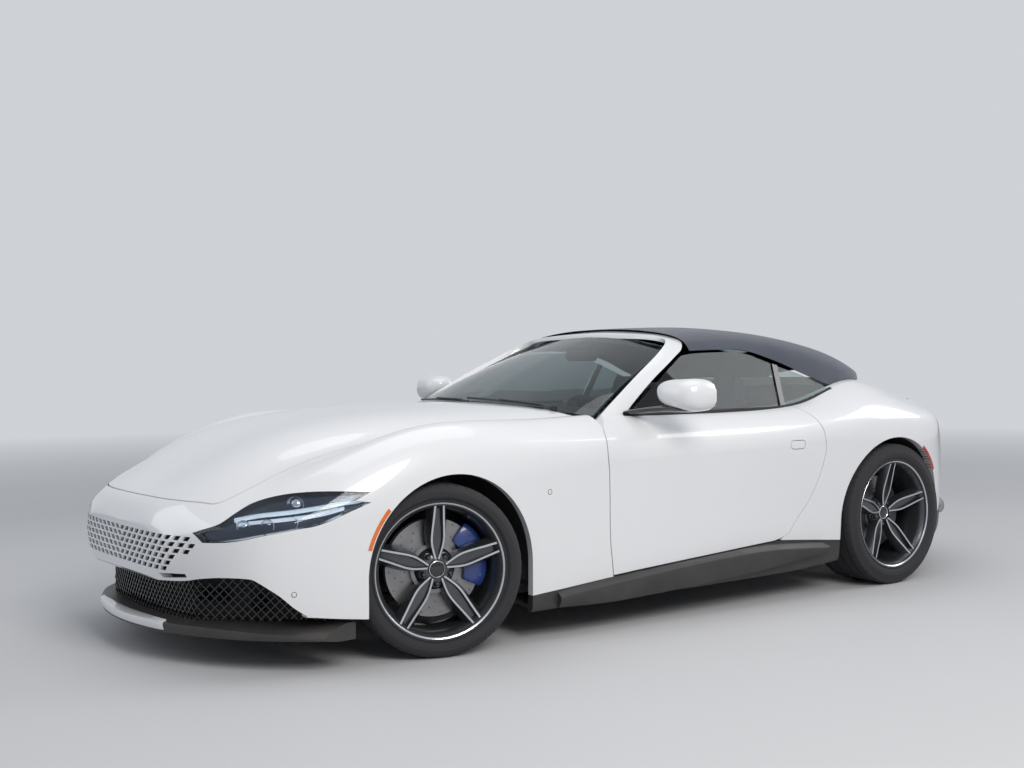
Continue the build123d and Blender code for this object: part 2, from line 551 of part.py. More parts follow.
# ---------------------------------------------------------------- mirrors
# Mirror head: x, middle (distance back, z), half length, half height
MIRROR = ((872, 1218, 1002, 22, 16), (888, 1206, 1002, 58, 34), (930, 1208, 1000, 84, 52),
          (1000, 1214, 1000, 88, 58),
          (1062, 1222, 1002, 82, 54), (1100, 1232, 1006, 62, 38), (1114, 1240, 1008, 30, 18))
EIGHT = ((1, 0.35), (0.5, 0.95), (-0.35, 1), (-0.92, 0.5), (-1, -0.3), (-0.6, -0.95), (0.6, -1), (1, -0.5))
mirror_head = ruled([[(x, at(s + a * long), z + b * high) for a, b in EIGHT]
                     for x, s, z, long, high in MIRROR])
mirror_arm = ruled([[(785, at(1080), 885), (785, at(1080), 925), (785, at(1165), 925), (785, at(1165), 885)],
                    [(950, at(1170), 940), (950, at(1170), 968), (950, at(1230), 968),
                     (950, at(1230), 940)]])
mirror_left = (mirror_head + mirror_arm) - door_left - door_glass
save("mirror_left", mirror_left)
save("mirror_right", mirrored(mirror_left))

# ---------------------------------------------------------------- cabin
dash = side_prism(side_outline(((725, 600), (725, 815), (900, 848), (985, 878), (1030, 845), (1030, 760),
                                (940, 640))),
                  -648, 648)
console = side_prism(side_outline(((930, 180), (930, 650), (1100, 620), (1350, 545), (2060, 535),
                                   (2060, 180))), -105, 105)
save("dashboard", dash + console)
WHEEL_X, WHEEL_Z, WHEEL_OFFSET = 372, 806, 1190
column = math.radians(20)
hub = Vector(WHEEL_X, at(WHEEL_OFFSET), WHEEL_Z)
axis = Vector(0, math.cos(column), math.sin(column))
ring = Solid.make_torus(172, 14, Plane(hub, x_dir=(1, 0, 0), z_dir=axis))
boss = Solid.make_cylinder(55, 40, Plane(hub - axis * 30, x_dir=(1, 0, 0), z_dir=axis))
shaft = Solid.make_cylinder(24, 175, Plane(hub - axis * 190, x_dir=(1, 0, 0), z_dir=axis))
spoke_plane = Plane(hub - axis * 12, x_dir=(1, 0, 0), z_dir=axis)
cross = Solid.make_box(336, 34, 14, Plane(hub - axis * 12 - Vector(168, 0, 0) - spoke_plane.y_dir * 17,
                                          x_dir=(1, 0, 0), z_dir=axis))
down = Solid.make_box(34, 168, 14, Plane(hub - axis * 12 - Vector(17, 0, 0) - spoke_plane.y_dir * 168,
                                         x_dir=(1, 0, 0), z_dir=axis))
steering_wheel = ring + boss + shaft + cross + down
save("steering_wheel", steering_wheel - dash)

SEAT_X = 385
cushion = side_prism(side_outline(((1395, 330), (1395, 400), (1440, 425), (1880, 385), (1940, 330),
                                   (1880, 250), (1450, 250))),
                     SEAT_X - 245, SEAT_X + 245)
back = side_prism(side_outline(((1850, 400), (2020, 880), (2060, 930), (2100, 900), (2080, 820),
                                (1960, 330), (1885, 330))),
                  SEAT_X - 235, SEAT_X + 235)
head = side_prism(side_outline(((2030, 870), (2050, 1045), (2085, 1062), (2125, 1045), (2110, 880))),
                  SEAT_X - 120, SEAT_X + 120)
base = box(SEAT_X - 200, SEAT_X + 200, at(1480), at(1860), FLOOR_Z + FLOOR_T, 255)
seat_left = cushion + back + head + base
save("seats", seat_left, mirrored(seat_left))
rear_seat = side_prism(side_outline(((2150, 300), (2150, 430), (2320, 415), (2370, 860), (2414, 860),
                                     (2414, 300))), -560, 560)
save("rear_seat", rear_seat - box(-110, 110, at(2000), at(2300), 0, 1000))

# ---------------------------------------------------------------- running gear
DISC_T = 34
DISC = dict(front=195, rear=182)
HUB_R = 62


def turned(points):
    """Solid of revolution about the wheel's axis: points are (outboard distance, radius)."""
    return Solid.revolve(Face(Wire.make_polygon([Vector(a, 0, r) for a, r in points], close=True)), 360,
                         Axis.X)


# Twin spoke with a channel down its middle: distance from the hub, half width of the edges,
# face height, flank width, flank depth, channel depth
SPOKE = ((58, 14, 62, 8, 26, 6), (95, 22, 66, 13, 30, 11), (125, 25, 71, 16, 32, 14),
         (160, 23.5, 77, 19, 33, 17),
         (200, 20.5, 84, 22, 34, 21), (243, 18, 91, 26, 34, 26))


def spoke_section(half_width, r, edge, face, flank, deep, channel):
    face = face + (half_width - 98.5) * r / 262
    side = ((edge + flank, face - deep), (edge + 3, face), (edge - 3, face), (edge - 8, face - channel))
    ring = list(side) + [(-t, x) for t, x in reversed(side)]
    ring += [(-edge - flank, face - deep - 12), (edge + flank, face - deep - 12)]
    return [(x, t, r) for t, x in ring]


def rim(width, disc_r, shaft_r, shaft_in):
    w = width / 2
    barrel = turned(((-w, 254), (-w, LIP_R), (-w - 7, LIP_R), (-w - 7, 246), (-60, 236), (w - 40, 236),
                     (w - 6, 248), (w + 7, 261), (w + 7, LIP_R), (w, LIP_R), (w, 254)))
    disc = turned(((-DISC_T, 98), (-DISC_T, disc_r), (0, disc_r), (0, 98)))
    bell = turned(((-DISC_T, 84), (-DISC_T, 99), (22, 99), (22, 84)))
    centre = turned(((-40, 0), (-40, HUB_R), (4, HUB_R), (4, 99), (24, 99), (24, 78), (58, 70), (62, 40),
                     (62, 0)))
    shaft = turned(((shaft_in, 0), (shaft_in, shaft_r), (-110, shaft_r), (-110, 30), (-38, 30), (-38, 0)))
    wheel = barrel + disc + bell + centre + shaft
    spoke = ruled([spoke_section(w, *row) for row in SPOKE])
    for k in range(5):
        wheel = wheel + spoke.rotate(Axis.X, 72 * k)
    return wheel


def tyre(size):
    w, t, r = size["rim"] / 2 - 0.6, size["width"] / 2, size["radius"]
    half = ((w, 254.4), (w, 271), (t - 2, 286), (t, 302), (t - 5, 322), (t - 18, 335), (t - 45, r))
    return turned(half + tuple((-a, b) for a, b in reversed(half)))


def caliper(disc_r, rise):
    """Bridge over the disc; rise is the angle of its middle above the rearward horizontal."""
    outer = turned(((-64, 120), (-64, 224), (20, 224), (20, 120)))
    slot = turned(((-DISC_T - 6, 0), (-DISC_T - 6, disc_r + 8), (6, disc_r + 8), (6, 0)))
    span = math.radians(36)
    wedge = side_prism([(0, 0), (400 * math.cos(span), 400 * math.sin(span)), (600, 0),
                        (400 * math.cos(span), -400 * math.sin(span))], -200, 200)
    return ((outer - slot) & wedge).rotate(Axis.X, rise)


def knuckle(rise):
    bearing = turned(((-112, 30.5), (-112, HUB_R), (-46, HUB_R), (-46, 30.5)))
    offset = KINGPIN_X - TRACK_F / 2
    lower = box(offset - 22, offset + 22, -24, 24, -118, -58) - post(offset, 0, -200, 0, 10.4)
    upper = box(offset - 22, offset + 22, -24, 24, 58, 176) - post(offset, 0, 120, 300, 10.4)
    mount = box(-88, -66, 40, 190, -28, 28).rotate(Axis.X, rise)
    bore = drum(-200, 0, 0, 0, 30.5)
    return (bearing + lower + upper + mount) - bore


def parked(shape, z):
    """Left front wheel set: straight ahead, then turned about the kingpin to the parked angle."""
    straight = shape.moved(Location((TRACK_F / 2, AXLE_F, z)))
    return straight.rotate(Axis((KINGPIN_X, AXLE_F, 0), (0, 0, 1)), STEER_REST)


def parked_right(shape, z):
    straight = mirrored(shape).moved(Location((-TRACK_F / 2, AXLE_F, z)))
    return straight.rotate(Axis((-KINGPIN_X, AXLE_F, 0), (0, 0, 1)), STEER_REST)


CALIPER_F_RISE = 14
CALIPER_R_RISE = 166
front_set = {
    "rim_front": rim(TYRE_F["rim"], DISC["front"], 30, -112),
    "tyre_front": tyre(TYRE_F),
    "caliper_front": caliper(DISC["front"], CALIPER_F_RISE),
    "knuckle_front": knuckle(CALIPER_F_RISE),
}
for name, shape in front_set.items():
    save(f"{name}_left", parked(shape, TYRE_F["radius"]))
    save(f"{name}_right", parked_right(shape, TYRE_F["radius"]))
rear_set = {"rim_rear": rim(TYRE_R["rim"], DISC["rear"], 16, -720), "tyre_rear": tyre(TYRE_R)}
for name, shape in rear_set.items():
    placed = shape.moved(Location((TRACK_R / 2, AXLE_R, TYRE_R["radius"])))
    save(f"{name}_left", placed)
    save(f"{name}_right", mirrored(placed))
rear_caliper = caliper(DISC["rear"], CALIPER_R_RISE).moved(Location((TRACK_R / 2, AXLE_R, TYRE_R["radius"])))
save("rear_calipers", rear_caliper, mirrored(rear_caliper))
carrier = turned(((-112, 30.5), (-112, HUB_R), (-46, HUB_R), (-46, 30.5)))
carrier = carrier + box(-112, -66, -24, 24, 58, 150) + box(-112, -66, -24, 24, -150, -58)
carrier = carrier + box(-88, -66, 40, 190, -28, 28).rotate(Axis.X, CALIPER_R_RISE)
carrier = carrier - drum(-200, 0, 0, 0, 30.5)
carrier = carrier.moved(Location((TRACK_R / 2, AXLE_R, TYRE_R["radius"])))
save("rear_hub_carriers", carrier, mirrored(carrier))

# Suspension arms: flat A shapes from the subframe out to the ball joints
ARM = ((330, -170), (390, -170), (766, -30), (766, 30), (390, 170), (330, 170))
ARM_HOLE = ((420, -110), (690, -14), (690, 14), (420, 110))


def arm(z0, z1, y, out, inner=0.0):
    outline = [(max(x, inner) if x < 500 else x + out, y + dy) for x, dy in ARM]
    hole = [(max(x, inner + 40) if x < 500 else x + out, y + dy) for x, dy in ARM_HOLE]
    return plan_prism(outline, z0, z1) - plan_prism(hole, z0 - 1, z1 + 1)


low_f = arm(182, 208, AXLE_F, 0) + post(KINGPIN_X, AXLE_F, 207, 268, 10)
high_f = arm(528, 548, AXLE_F, 0, 440) + post(KINGPIN_X, AXLE_F, 466, 529, 10)
tower = (box(436, 450, AXLE_F - 170, AXLE_F + 170, 208, 548)
         - box(400, 480, AXLE_F - 110, AXLE_F + 110, 260, 500))
frame_f = (box(-350, 350, AXLE_F - 190, AXLE_F - 130, 170, 232)
           + box(-350, 350, AXLE_F + 130, AXLE_F + 190, 170, 232))
half_f = low_f + high_f + tower
front_subframe = (frame_f + half_f + mirrored(half_f)) - rail - mirrored(rail)
save("front_subframe", front_subframe)

REAR_UPRIGHT_X = TRACK_R / 2 - 112  # inner face of the rear hub carriers


def rear_arm(z0):
    """Flat A arm that butts against the inner face of the rear hub carrier."""
    outline = [(330, AXLE_R - 170), (390, AXLE_R - 170), (REAR_UPRIGHT_X, AXLE_R - 24),
               (REAR_UPRIGHT_X, AXLE_R + 24),
               (390, AXLE_R + 170), (330, AXLE_R + 170)]
    hole = [(420, AXLE_R - 110), (650, AXLE_R - 14), (650, AXLE_R + 14), (420, AXLE_R + 110)]
    return plan_prism(outline, z0, z0 + 24) - plan_prism(hole, z0 - 1, z0 + 25)


cross_r = (box(-400, 400, AXLE_R - 190, AXLE_R - 130, 205, 329)
           + box(-400, 400, AXLE_R + 130, AXLE_R + 190, 205, 329))
half_r = (box(330, 390, AXLE_R - 180, AXLE_R + 180, 205, 420)
          - box(200, 500, AXLE_R - 60, AXLE_R + 60, 300, 400))
half_r = half_r + rear_arm(212) + rear_arm(380)
diff_case = (box(-150, 150, AXLE_R - 131, AXLE_R + 131, 250, 400)
             - drum(-200, 200, AXLE_R, TYRE_R["radius"], 22))
rear_subframe = cross_r + half_r + mirrored(half_r) + diff_case
save("rear_subframe", rear_subframe)
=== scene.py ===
import json
import math

import bmesh
import bpy
from mathutils import Matrix, Vector
from mathutils.bvhtree import BVHTree

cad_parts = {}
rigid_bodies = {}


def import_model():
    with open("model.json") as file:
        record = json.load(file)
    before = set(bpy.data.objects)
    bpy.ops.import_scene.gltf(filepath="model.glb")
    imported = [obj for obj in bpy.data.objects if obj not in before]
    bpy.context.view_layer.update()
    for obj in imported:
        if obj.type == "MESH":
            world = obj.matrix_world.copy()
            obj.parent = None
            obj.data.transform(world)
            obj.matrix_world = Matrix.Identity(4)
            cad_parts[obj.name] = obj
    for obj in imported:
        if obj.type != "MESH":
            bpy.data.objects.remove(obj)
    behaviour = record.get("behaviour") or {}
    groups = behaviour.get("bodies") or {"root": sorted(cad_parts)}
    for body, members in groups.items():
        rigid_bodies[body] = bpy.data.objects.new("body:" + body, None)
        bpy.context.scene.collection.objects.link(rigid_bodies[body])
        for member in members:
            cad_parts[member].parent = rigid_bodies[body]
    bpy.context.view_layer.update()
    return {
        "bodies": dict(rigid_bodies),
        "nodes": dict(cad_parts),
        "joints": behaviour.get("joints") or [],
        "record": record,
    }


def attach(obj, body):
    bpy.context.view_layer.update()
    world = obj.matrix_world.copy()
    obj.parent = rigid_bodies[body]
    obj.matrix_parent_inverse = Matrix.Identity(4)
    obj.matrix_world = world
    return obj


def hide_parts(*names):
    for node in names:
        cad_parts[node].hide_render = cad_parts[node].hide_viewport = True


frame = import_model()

bl_info = {
    "name": "Roadster convertible dressing",
    "version": (1, 0, 0),
    "blender": (4, 5, 0),
    "location": "View3D > Sidebar > Roadster",
    "description": "Builds the panels, lamps, wheels, top, glass and cabin of a roadster",
    "category": "Object",
}

# Millimetres from here on, turned into metres only where a mesh is made. Places on the body are
# (x, s, z): x to the left, s rearwards from the middle of the front wheels, z above the ground.
S_ZERO = -1368
FRONT_WHEEL_R = 340
REAR_WHEEL_R = 354
WHEEL_F = dict(x=823.07, s=-2.3, s_right=42.3, z=340, width=203, turn=-15, disc=195, rise=14)
WHEEL_R = dict(x=839.5, s=2680, z=354, width=254, turn=0, disc=182, rise=166)
STYLE = "roadster_style"
SHELL = "body_shell"

# Half sections of the body from the centre line outwards and down to the sill:
# s, centre z, bonnet ridge (x, z), valley (x, z), wing crest (x, z), shoulder (x, z),
# widest point (x, z), lower side (x, z), bottom edge (x, z)
BODY = (
    (-960, 540, 110, 539, 190, 535, 250, 522, 290, 492, 305, 452, 290, 392, 240, 352),
    (-930, 598, 170, 596, 286, 584, 376, 558, 439, 525, 470, 480, 461, 400, 394, 332),
    (-880, 636, 209, 638, 382, 622, 500, 585, 582, 545, 612, 500, 602, 390, 546, 300),
    (-800, 668, 254, 684, 479, 655, 625, 602, 718, 558, 750, 512, 744, 380, 708, 250),
    (-700, 720, 300, 742, 540, 692, 712, 632, 800, 580, 832, 535, 828, 380, 805, 200),
    (-550, 800, 345, 818, 580, 742, 765, 712, 852, 628, 886, 565, 886, 380, 872, 180),
    (-400, 858, 375, 870, 608, 785, 790, 788, 882, 700, 920, 605, 922, 400, 915, 170),
    (-200, 905, 400, 907, 625, 826, 800, 866, 905, 780, 944, 650, 950, 400, 942, 160),
    (0, 932, 410, 927, 635, 856, 800, 908, 915, 828, 955, 680, 962, 420, 950, 150),
    (250, 950, 418, 938, 640, 876, 800, 914, 915, 838, 950, 690, 955, 420, 945, 150),
    (500, 957, 430, 940, 652, 882, 790, 906, 905, 828, 936, 690, 936, 420, 930, 150),
    (800, 950, 500, 935, 690, 896, 775, 908, 898, 822, 925, 690, 925, 420, 925, 150),
    (1100, 912, 500, 910, 690, 908, 772, 905, 892, 820, 920, 690, 918, 420, 925, 150),
    (1600, 904, 500, 903, 690, 902, 772, 900, 890, 820, 920, 695, 912, 420, 925, 150),
    (2000, 910, 500, 910, 690, 909, 776, 905, 905, 832, 938, 705, 918, 420, 925, 155),
    (2250, 950, 470, 950, 660, 945, 782, 925, 930, 858, 966, 725, 950, 430, 930, 170),
    (2450, 1010, 440, 1008, 640, 1000, 772, 975, 936, 885, 982, 745, 975, 440, 945, 190),
    (2660, 1052, 410, 1048, 610, 1036, 745, 1006, 930, 903, 987, 760, 985, 450, 960, 200),
    (2860, 1056, 390, 1048, 585, 1022, 700, 985, 902, 893, 978, 765, 976, 455, 955, 210),
    (3050, 1040, 370, 1024, 548, 974, 652, 942, 860, 868, 938, 762, 940, 460, 918, 220),
    (3180, 1020, 355, 1000, 530, 952, 625, 922, 792, 856, 868, 758, 872, 465, 852, 232),
    (3310, 988, 338, 966, 498, 926, 585, 893, 712, 834, 778, 752, 784, 472, 768, 248),
    (3440, 964, 316, 940, 465, 902, 534, 868, 622, 812, 680, 738, 686, 480, 672, 265),
    (3560, 945, 285, 925, 415, 885, 480, 845, 540, 790, 586, 728, 592, 490, 580, 285),
    (3645, 925, 230, 905, 320, 868, 380, 828, 425, 775, 455, 716, 460, 500, 450, 305),
    (3696, 880, 150, 868, 210, 842, 260, 812, 295, 765, 310, 712, 312, 510, 305, 330),
)
SOFT_EDGES = {1: 0.1, 2: 0.35}  # ridge and valley stay a little sharper than the rest
PANEL_SCALE = (0.966, 0.985, 0.93)  # the inner face of the panels is the body drawn in about its middle
PANEL_MIDDLE = (0, 1350, 450)

# Shut lines. Plan outlines are (x, s) from the centre line at the front round to the centre line
# at the back, side outlines (s, z).
BONNET = ((0, -890), (220, -888), (384, -865), (500, -825), (571, -785), (604, -690), (614, -560),
          (620, -400), (624, -192), (626, 8), (632, 300), (642, 560), (680, 842), (560, 790), (300, 735),
          (0, 716))
BONNET_CORNERS = (0, 12, 15)
COWL = ((0, 722), (300, 741), (560, 797), (692, 856), (640, 905), (600, 880), (0, 800))
COWL_CORNERS = (0, 3, 4, 6)
DOOR = ((850, 232), (847, 275), (838, 383), (837, 553), (834, 681), (830, 767), (849, 849), (906, 900),
        (960, 1000), (2110, 1000), (2180, 918), (2177, 882), (2176, 835), (2187, 763), (2190, 690),
        (2160, 580), (2104, 462), (2028, 380), (1967, 313), (1880, 288))
DOOR_CORNERS = (0, 8, 9, 10, 19)
DOOR_FRONT = 9
DOOR_TAPER = 60
SILL_TOP = ((396, 196), (600, 208), (870, 226), (1370, 264), (1750, 282), (1900, 284), (2100, 268),
            (2300, 252))
LID = ((0, 3195), (250, 3185), (430, 3150), (505, 3200), (480, 3400), (395, 3530), (250, 3590), (0, 3604))
LID_CORNERS = (0, 2, 7)
TOP_FOOT = ((0, 3150), (200, 3128), (360, 3070), (500, 2970), (600, 2840), (660, 2700), (690, 2560),
            (705, 2440))
HEADLAMP = ((-893, 527), (-866, 544), (-827, 564), (-774, 598), (-706, 635), (-628, 661), (-555, 673),
            (-461, 675), (-340, 668), (-400, 639), (-340, 630), (-414, 603), (-536, 558), (-624, 545),
            (-723, 527), (-817, 502), (-877, 494))
HEADLAMP_CORNERS = (0, 8, 9, 10, 16)
GRILLE = ((0, 364), (360, 371), (440, 376), (520, 396), (592, 458), (618, 492), (590, 515), (565, 528),
          (300, 532), (0, 528))
GRILLE_CORNERS = (0, 5, 9)
MOUTH = ((0, 176), (880, 198), (871, 218), (854, 253), (831, 309), (796, 357), (767, 369), (680, 368),
         (591, 357), (495, 340), (361, 330), (250, 322), (0, 318))
MOUTH_CORNERS = (0, 1, 12)
CHIN_SLOT = ((384, 342), (524, 356), (519, 369), (370, 360))
NOSE_SEAM = -695


# ------------------------------------------------------------------ small tools
def style():
    """The settings that the sidebar shows."""
    return getattr(bpy.context.scene, STYLE)


def place(x, s, z):
    """A place on the body in metres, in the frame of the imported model."""
    return Vector((x / 1000, (S_ZERO + s) / 1000, z / 1000))


def choose(*pieces):
    """Selects only these pieces, with the first one active."""
    bpy.ops.object.select_all(action="DESELECT")
    for piece in pieces:
        piece.select_set(True)
    bpy.context.view_layer.objects.active = pieces[0]


def loose_piece(name, points, faces):
    mesh = bpy.data.meshes.new(name)
    mesh.from_pydata(points, [], faces)
    piece = bpy.data.objects.new(name, mesh)
    bpy.context.scene.collection.objects.link(piece)
    return piece


def mesh_piece(name, points, faces):
    """New piece from points in metres and faces, its faces turned outwards."""
    piece = loose_piece(name, [tuple(p) for p in points], faces)
    outwards(piece)
    return piece


def outwards(piece):
    choose(piece)
    bpy.ops.object.mode_set(mode="EDIT")
    bpy.ops.mesh.select_all(action="SELECT")
    bpy.ops.mesh.normals_make_consistent(inside=False)
    bpy.ops.object.mode_set(mode="OBJECT")


def settle(piece):
    """Moves a piece's place, turn and scale into its mesh."""
    choose(piece)
    bpy.ops.object.transform_apply(location=True, rotation=True, scale=True)
    return piece


def apply(piece, kind, **settings):
    """Adds a modifier and applies it."""
    choose(piece)
    modifier = piece.modifiers.new(kind.lower(), kind)
    for key, value in settings.items():
        setattr(modifier, key, value)
    bpy.ops.object.modifier_apply(modifier=modifier.name)
    return piece


def copy_of(piece, name="copy"):
    twin = piece.copy()
    twin.data = piece.data.copy()
    twin.name = name
    bpy.context.scene.collection.objects.link(twin)
    return twin


def mirror_of(piece, name):
    """The same piece on the other side of the car, with its own mesh."""
    twin = copy_of(piece, name)
    twin.data.transform(Matrix.Scale(-1, 4, (1, 0, 0)))
    twin.data.flip_normals()
    return twin


def joined(name, *pieces):
    choose(*pieces)
    bpy.ops.object.join()
    pieces[0].name = name
    return pieces[0]


def discard(*pieces):
    for piece in pieces:
        bpy.data.objects.remove(piece)


def smooth(piece, angle=32):
    choose(piece)
    bpy.ops.object.shade_smooth_by_angle(angle=math.radians(angle))
    return piece


def boolean(piece, tool, operation="DIFFERENCE", keep=False, solver="MANIFOLD"):
    """Cuts a piece with another one; the tool is thrown away unless it is kept."""
    before = piece.data.copy()
    apply(piece, "BOOLEAN", operation=operation, object=tool, solver=solver)
    if not piece.data.polygons and solver == "MANIFOLD":
        piece.data = before
        apply(piece, "BOOLEAN", operation=operation, object=tool, solver="EXACT")
    if not keep:
        discard(tool)
    if not piece.data.polygons:
        raise RuntimeError(f"nothing is left of {piece.name} after a cut")
    return piece


def curve_through(points, corners=(), per=6, closed=True):
    """Smooth polyline through 2D or 3D points; it stays sharp at the corners, given by index."""
    count = len(points)
    spans = count if closed else count - 1
    result = []
    for i in range(spans):
        a, b = points[i], points[(i + 1) % count]
        before = points[(i - 1) % count] if (closed or i > 0) and i not in corners else a
        after = points[(i + 2) % count] if (closed or i + 2 < count) and (i + 1) % count not in corners else b
        for step in range(per):
            t = step / per
            result.append(tuple(
                0.5 * ((2 * q) + (r - p) * t + (2 * p - 5 * q + 4 * r - w) * t * t
                       + (3 * q - p - 3 * r + w) * t ** 3)
                for p, q, r, w in zip(before, a, b, after)))
    if not closed:
        result.append(tuple(points[-1]))
    return result


def whole(half):
    """Outline from centre line to centre line, completed by its mirror image."""
    return list(half) + [(-x, b) for x, b in reversed(half) if x > 1e-6]


def whole_through(half, corners=()):
    """Smooth outline through a half outline and its mirror image."""
    return whole(curve_through(half, corners, closed=False))


def block(outline, axis, low, high, name="block"):
    """Closed block: an outline extruded along an axis.

    Outlines are (s, z) for x, (x, z) for s and (x, s) for z.
    """
    spots = {
        "x": lambda a, b: place(low, a, b),
        "s": lambda a, b: place(a, low, b),
        "z": lambda a, b: place(a, b, low),
    }[axis]
    piece = loose_piece(name, [spots(a, b) for a, b in outline], [list(range(len(outline)))])
    reach = (high - low) / 1000
    choose(piece)
    bpy.ops.object.mode_set(mode="EDIT")
    bpy.ops.mesh.select_all(action="SELECT")
    bpy.ops.mesh.extrude_region_move(TRANSFORM_OT_translate={
        "value": tuple(reach * (letter == axis) for letter in "xsz")})
    bpy.ops.object.mode_set(mode="OBJECT")
    outwards(piece)
    return piece


def many_blocks(name, rows):
    """One piece of many small blocks. Rows are (outline of (x, z), front s, rear s)."""
    points, faces = [], []
    for outline, front, rear in rows:
        first, count = len(points), len(outline)
        points += [place(x, front, z) for x, z in outline] + [place(x, rear, z) for x, z in outline]
        faces.append([first + k for k in range(count)])
        faces.append([first + count + k for k in range(count)])
        for k in range(count):
            j = (k + 1) % count
            faces.append((first + k, first + j, first + count + j, first + count + k))
    return mesh_piece(name, points, faces)


def net_faces(rows, count, closed=True, caps=True):
    """Faces between rows of equally many points, with caps over the first and the last row."""
    faces = [(r * count + k, r * count + (k + 1) % count,
              (r + 1) * count + (k + 1) % count, (r + 1) * count + k)
             for r in range(rows - 1) for k in range(count if closed else count - 1)]
    if caps:
        faces += [list(range(count)), [(rows - 1) * count + k for k in range(count)]]
    return faces


def loft(name, sections, closed=True):
    """Skin through sections of equally many (x, s, z) points."""
    points = [place(*p) for section in sections for p in section]
    return mesh_piece(name, points, net_faces(len(sections), len(sections[0]), closed, caps=closed))


def stations(sections, per=4):
    """More sections between the given ones, on smooth curves through their points."""
    tracks = [curve_through(track, per=per, closed=False) for track in zip(*sections)]
    return [list(section) for section in zip(*tracks)]


def turned(name, profile, steps=96, material_rows=()):
    """Solid of revolution about the x axis through the origin. The profile is (x, radius), closed."""
    faces, points = [], []
    for k in range(steps):
        a = 2 * math.pi * k / steps
        points += [(x / 1000, r * math.cos(a) / 1000, r * math.sin(a) / 1000) for x, r in profile]
    count = len(profile)
    for k in range(steps):
        for j in range(count):
            a, b = k * count + j, k * count + (j + 1) % count
            c, d = ((k + 1) % steps) * count + (j + 1) % count, ((k + 1) % steps) * count + j
            faces.append((a, b, c, d))
    piece = mesh_piece(name, points, faces)
    for row in material_rows:
        for k in range(steps):
            piece.data.polygons[k * count + row[0]].material_index = row[1]
    choose(piece)
    bpy.ops.object.mode_set(mode="EDIT")
    bpy.ops.mesh.select_all(action="SELECT")
    bpy.ops.mesh.remove_doubles(threshold=0.00001)
    bpy.ops.mesh.normals_make_consistent(inside=False)
    bpy.ops.object.mode_set(mode="OBJECT")
    return piece


def drum(name, x0, x1, s, z, radius, steps=128):
    """Cylinder across the car."""
    middle = place((x0 + x1) / 2, s, z)
    bpy.ops.mesh.primitive_cylinder_add(vertices=steps, radius=radius / 1000, depth=abs(x1 - x0) / 1000,
                                        location=middle, rotation=(0, math.radians(90), 0))
    bpy.context.object.name = name
    return settle(bpy.context.object)


def moved(piece, to, degrees=0.0, axis="Z"):
    """Turns a piece's mesh about an axis through the origin and then moves it, in metres."""
    piece.data.transform(Matrix.Translation(to) @ Matrix.Rotation(math.radians(degrees), 4, axis))
    return piece


def bevelled(piece, width, segments=3):
    """Rounds the edges that turn by more than 50 degrees; the width is in metres."""
    return apply(piece, "BEVEL", width=width, segments=segments, limit_method="ANGLE",
                 angle_limit=math.radians(50))


def dressed(piece, *looks):
    """Gives a piece its materials; its faces keep their numbers in the list."""
    numbers = [face.material_index for face in piece.data.polygons]
    piece.data.materials.clear()
    for look in looks:
        piece.data.materials.append(look)
    if len(looks) > 1:
        piece.data.polygons.foreach_set("material_index", numbers)
    return piece


def ready(piece, slot, *looks, body=SHELL, replaces=()):
    """A finished piece: its materials, the body it rides on and the nodes that it stands for."""
    dressed(piece, *looks)
    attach(piece, body)
    if replaces:
        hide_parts(*replaces)
    return piece


# ------------------------------------------------------------------ the body's skin
class Skin:
    """The smooth outer and inner faces of the body that every panel is cut from."""

    outer = None
    inner = None
    tree = None


def body_cage():
    rings = []
    for row in BODY:
        half = [(0, row[1])] + [(row[i], row[i + 1]) for i in range(2, 16, 2)]
        x_low, z_low = half[-1]
        half += [(x_low * 0.9, z_low - 12), (x_low * 0.45, z_low - 12)]
        ring = half + [(0, z_low - 12)] + [(-x, z) for x, z in reversed(half[1:])]
        rings.append([place(x, row[0], z) for x, z in ring])
    count = len(rings[0])
    points = [p for ring in rings for p in ring]
    faces = net_faces(len(rings), count, caps=False)
    for first in (0, (len(rings) - 1) * count):
        for k in range(count // 2):
            rung = []
            for v in (k, k + 1, count - k - 1, (count - k) % count):
                if first + v not in rung:
                    rung.append(first + v)
            faces.append(rung)
    cage = mesh_piece("body_cage", points, faces)
    crease = cage.data.attributes.new("crease_edge", "FLOAT", "EDGE")
    lines = {}
    for column, value in SOFT_EDGES.items():
        lines[column] = value
        lines[count - column] = value
    for edge in cage.data.edges:
        a, b = edge.vertices
        if a % count == b % count and a % count in lines:
            crease.data[edge.index].value = lines[a % count]
    return cage


def fitted_cage(cage, rounds=3, share=0.8):
    """Moves the cage's corners until the smooth surface passes close to the table's points."""
    wanted = [v.co.copy() for v in cage.data.vertices]
    modifier = cage.modifiers.new("round", "SUBSURF")
    modifier.levels = modifier.render_levels = 2
    for _ in range(rounds):
        graph = bpy.context.evaluated_depsgraph_get()
        graph.update()
        shown = cage.evaluated_get(graph).to_mesh()
        for v, target in zip(cage.data.vertices, wanted):
            v.co += (target - shown.vertices[v.index].co) * share
        cage.data.update()
    cage.modifiers.remove(modifier)
    return cage


def make_skin():
    cage = fitted_cage(body_cage())
    apply(cage, "SUBSURF", levels=3, render_levels=3)
    outwards(cage)
    cage.name = "body_skin"
    for face in cage.data.polygons:
        face.use_smooth = True
    inner = copy_of(cage, "body_inside")
    middle = place(*PANEL_MIDDLE)
    shrink = Matrix.Diagonal((*PANEL_SCALE, 1))
    inner.data.transform(Matrix.Translation(middle) @ shrink @ Matrix.Translation(-middle))
    Skin.outer, Skin.inner = cage, inner
    graph = bpy.context.evaluated_depsgraph_get()
    graph.update()
    Skin.tree = BVHTree.FromObject(cage, graph)


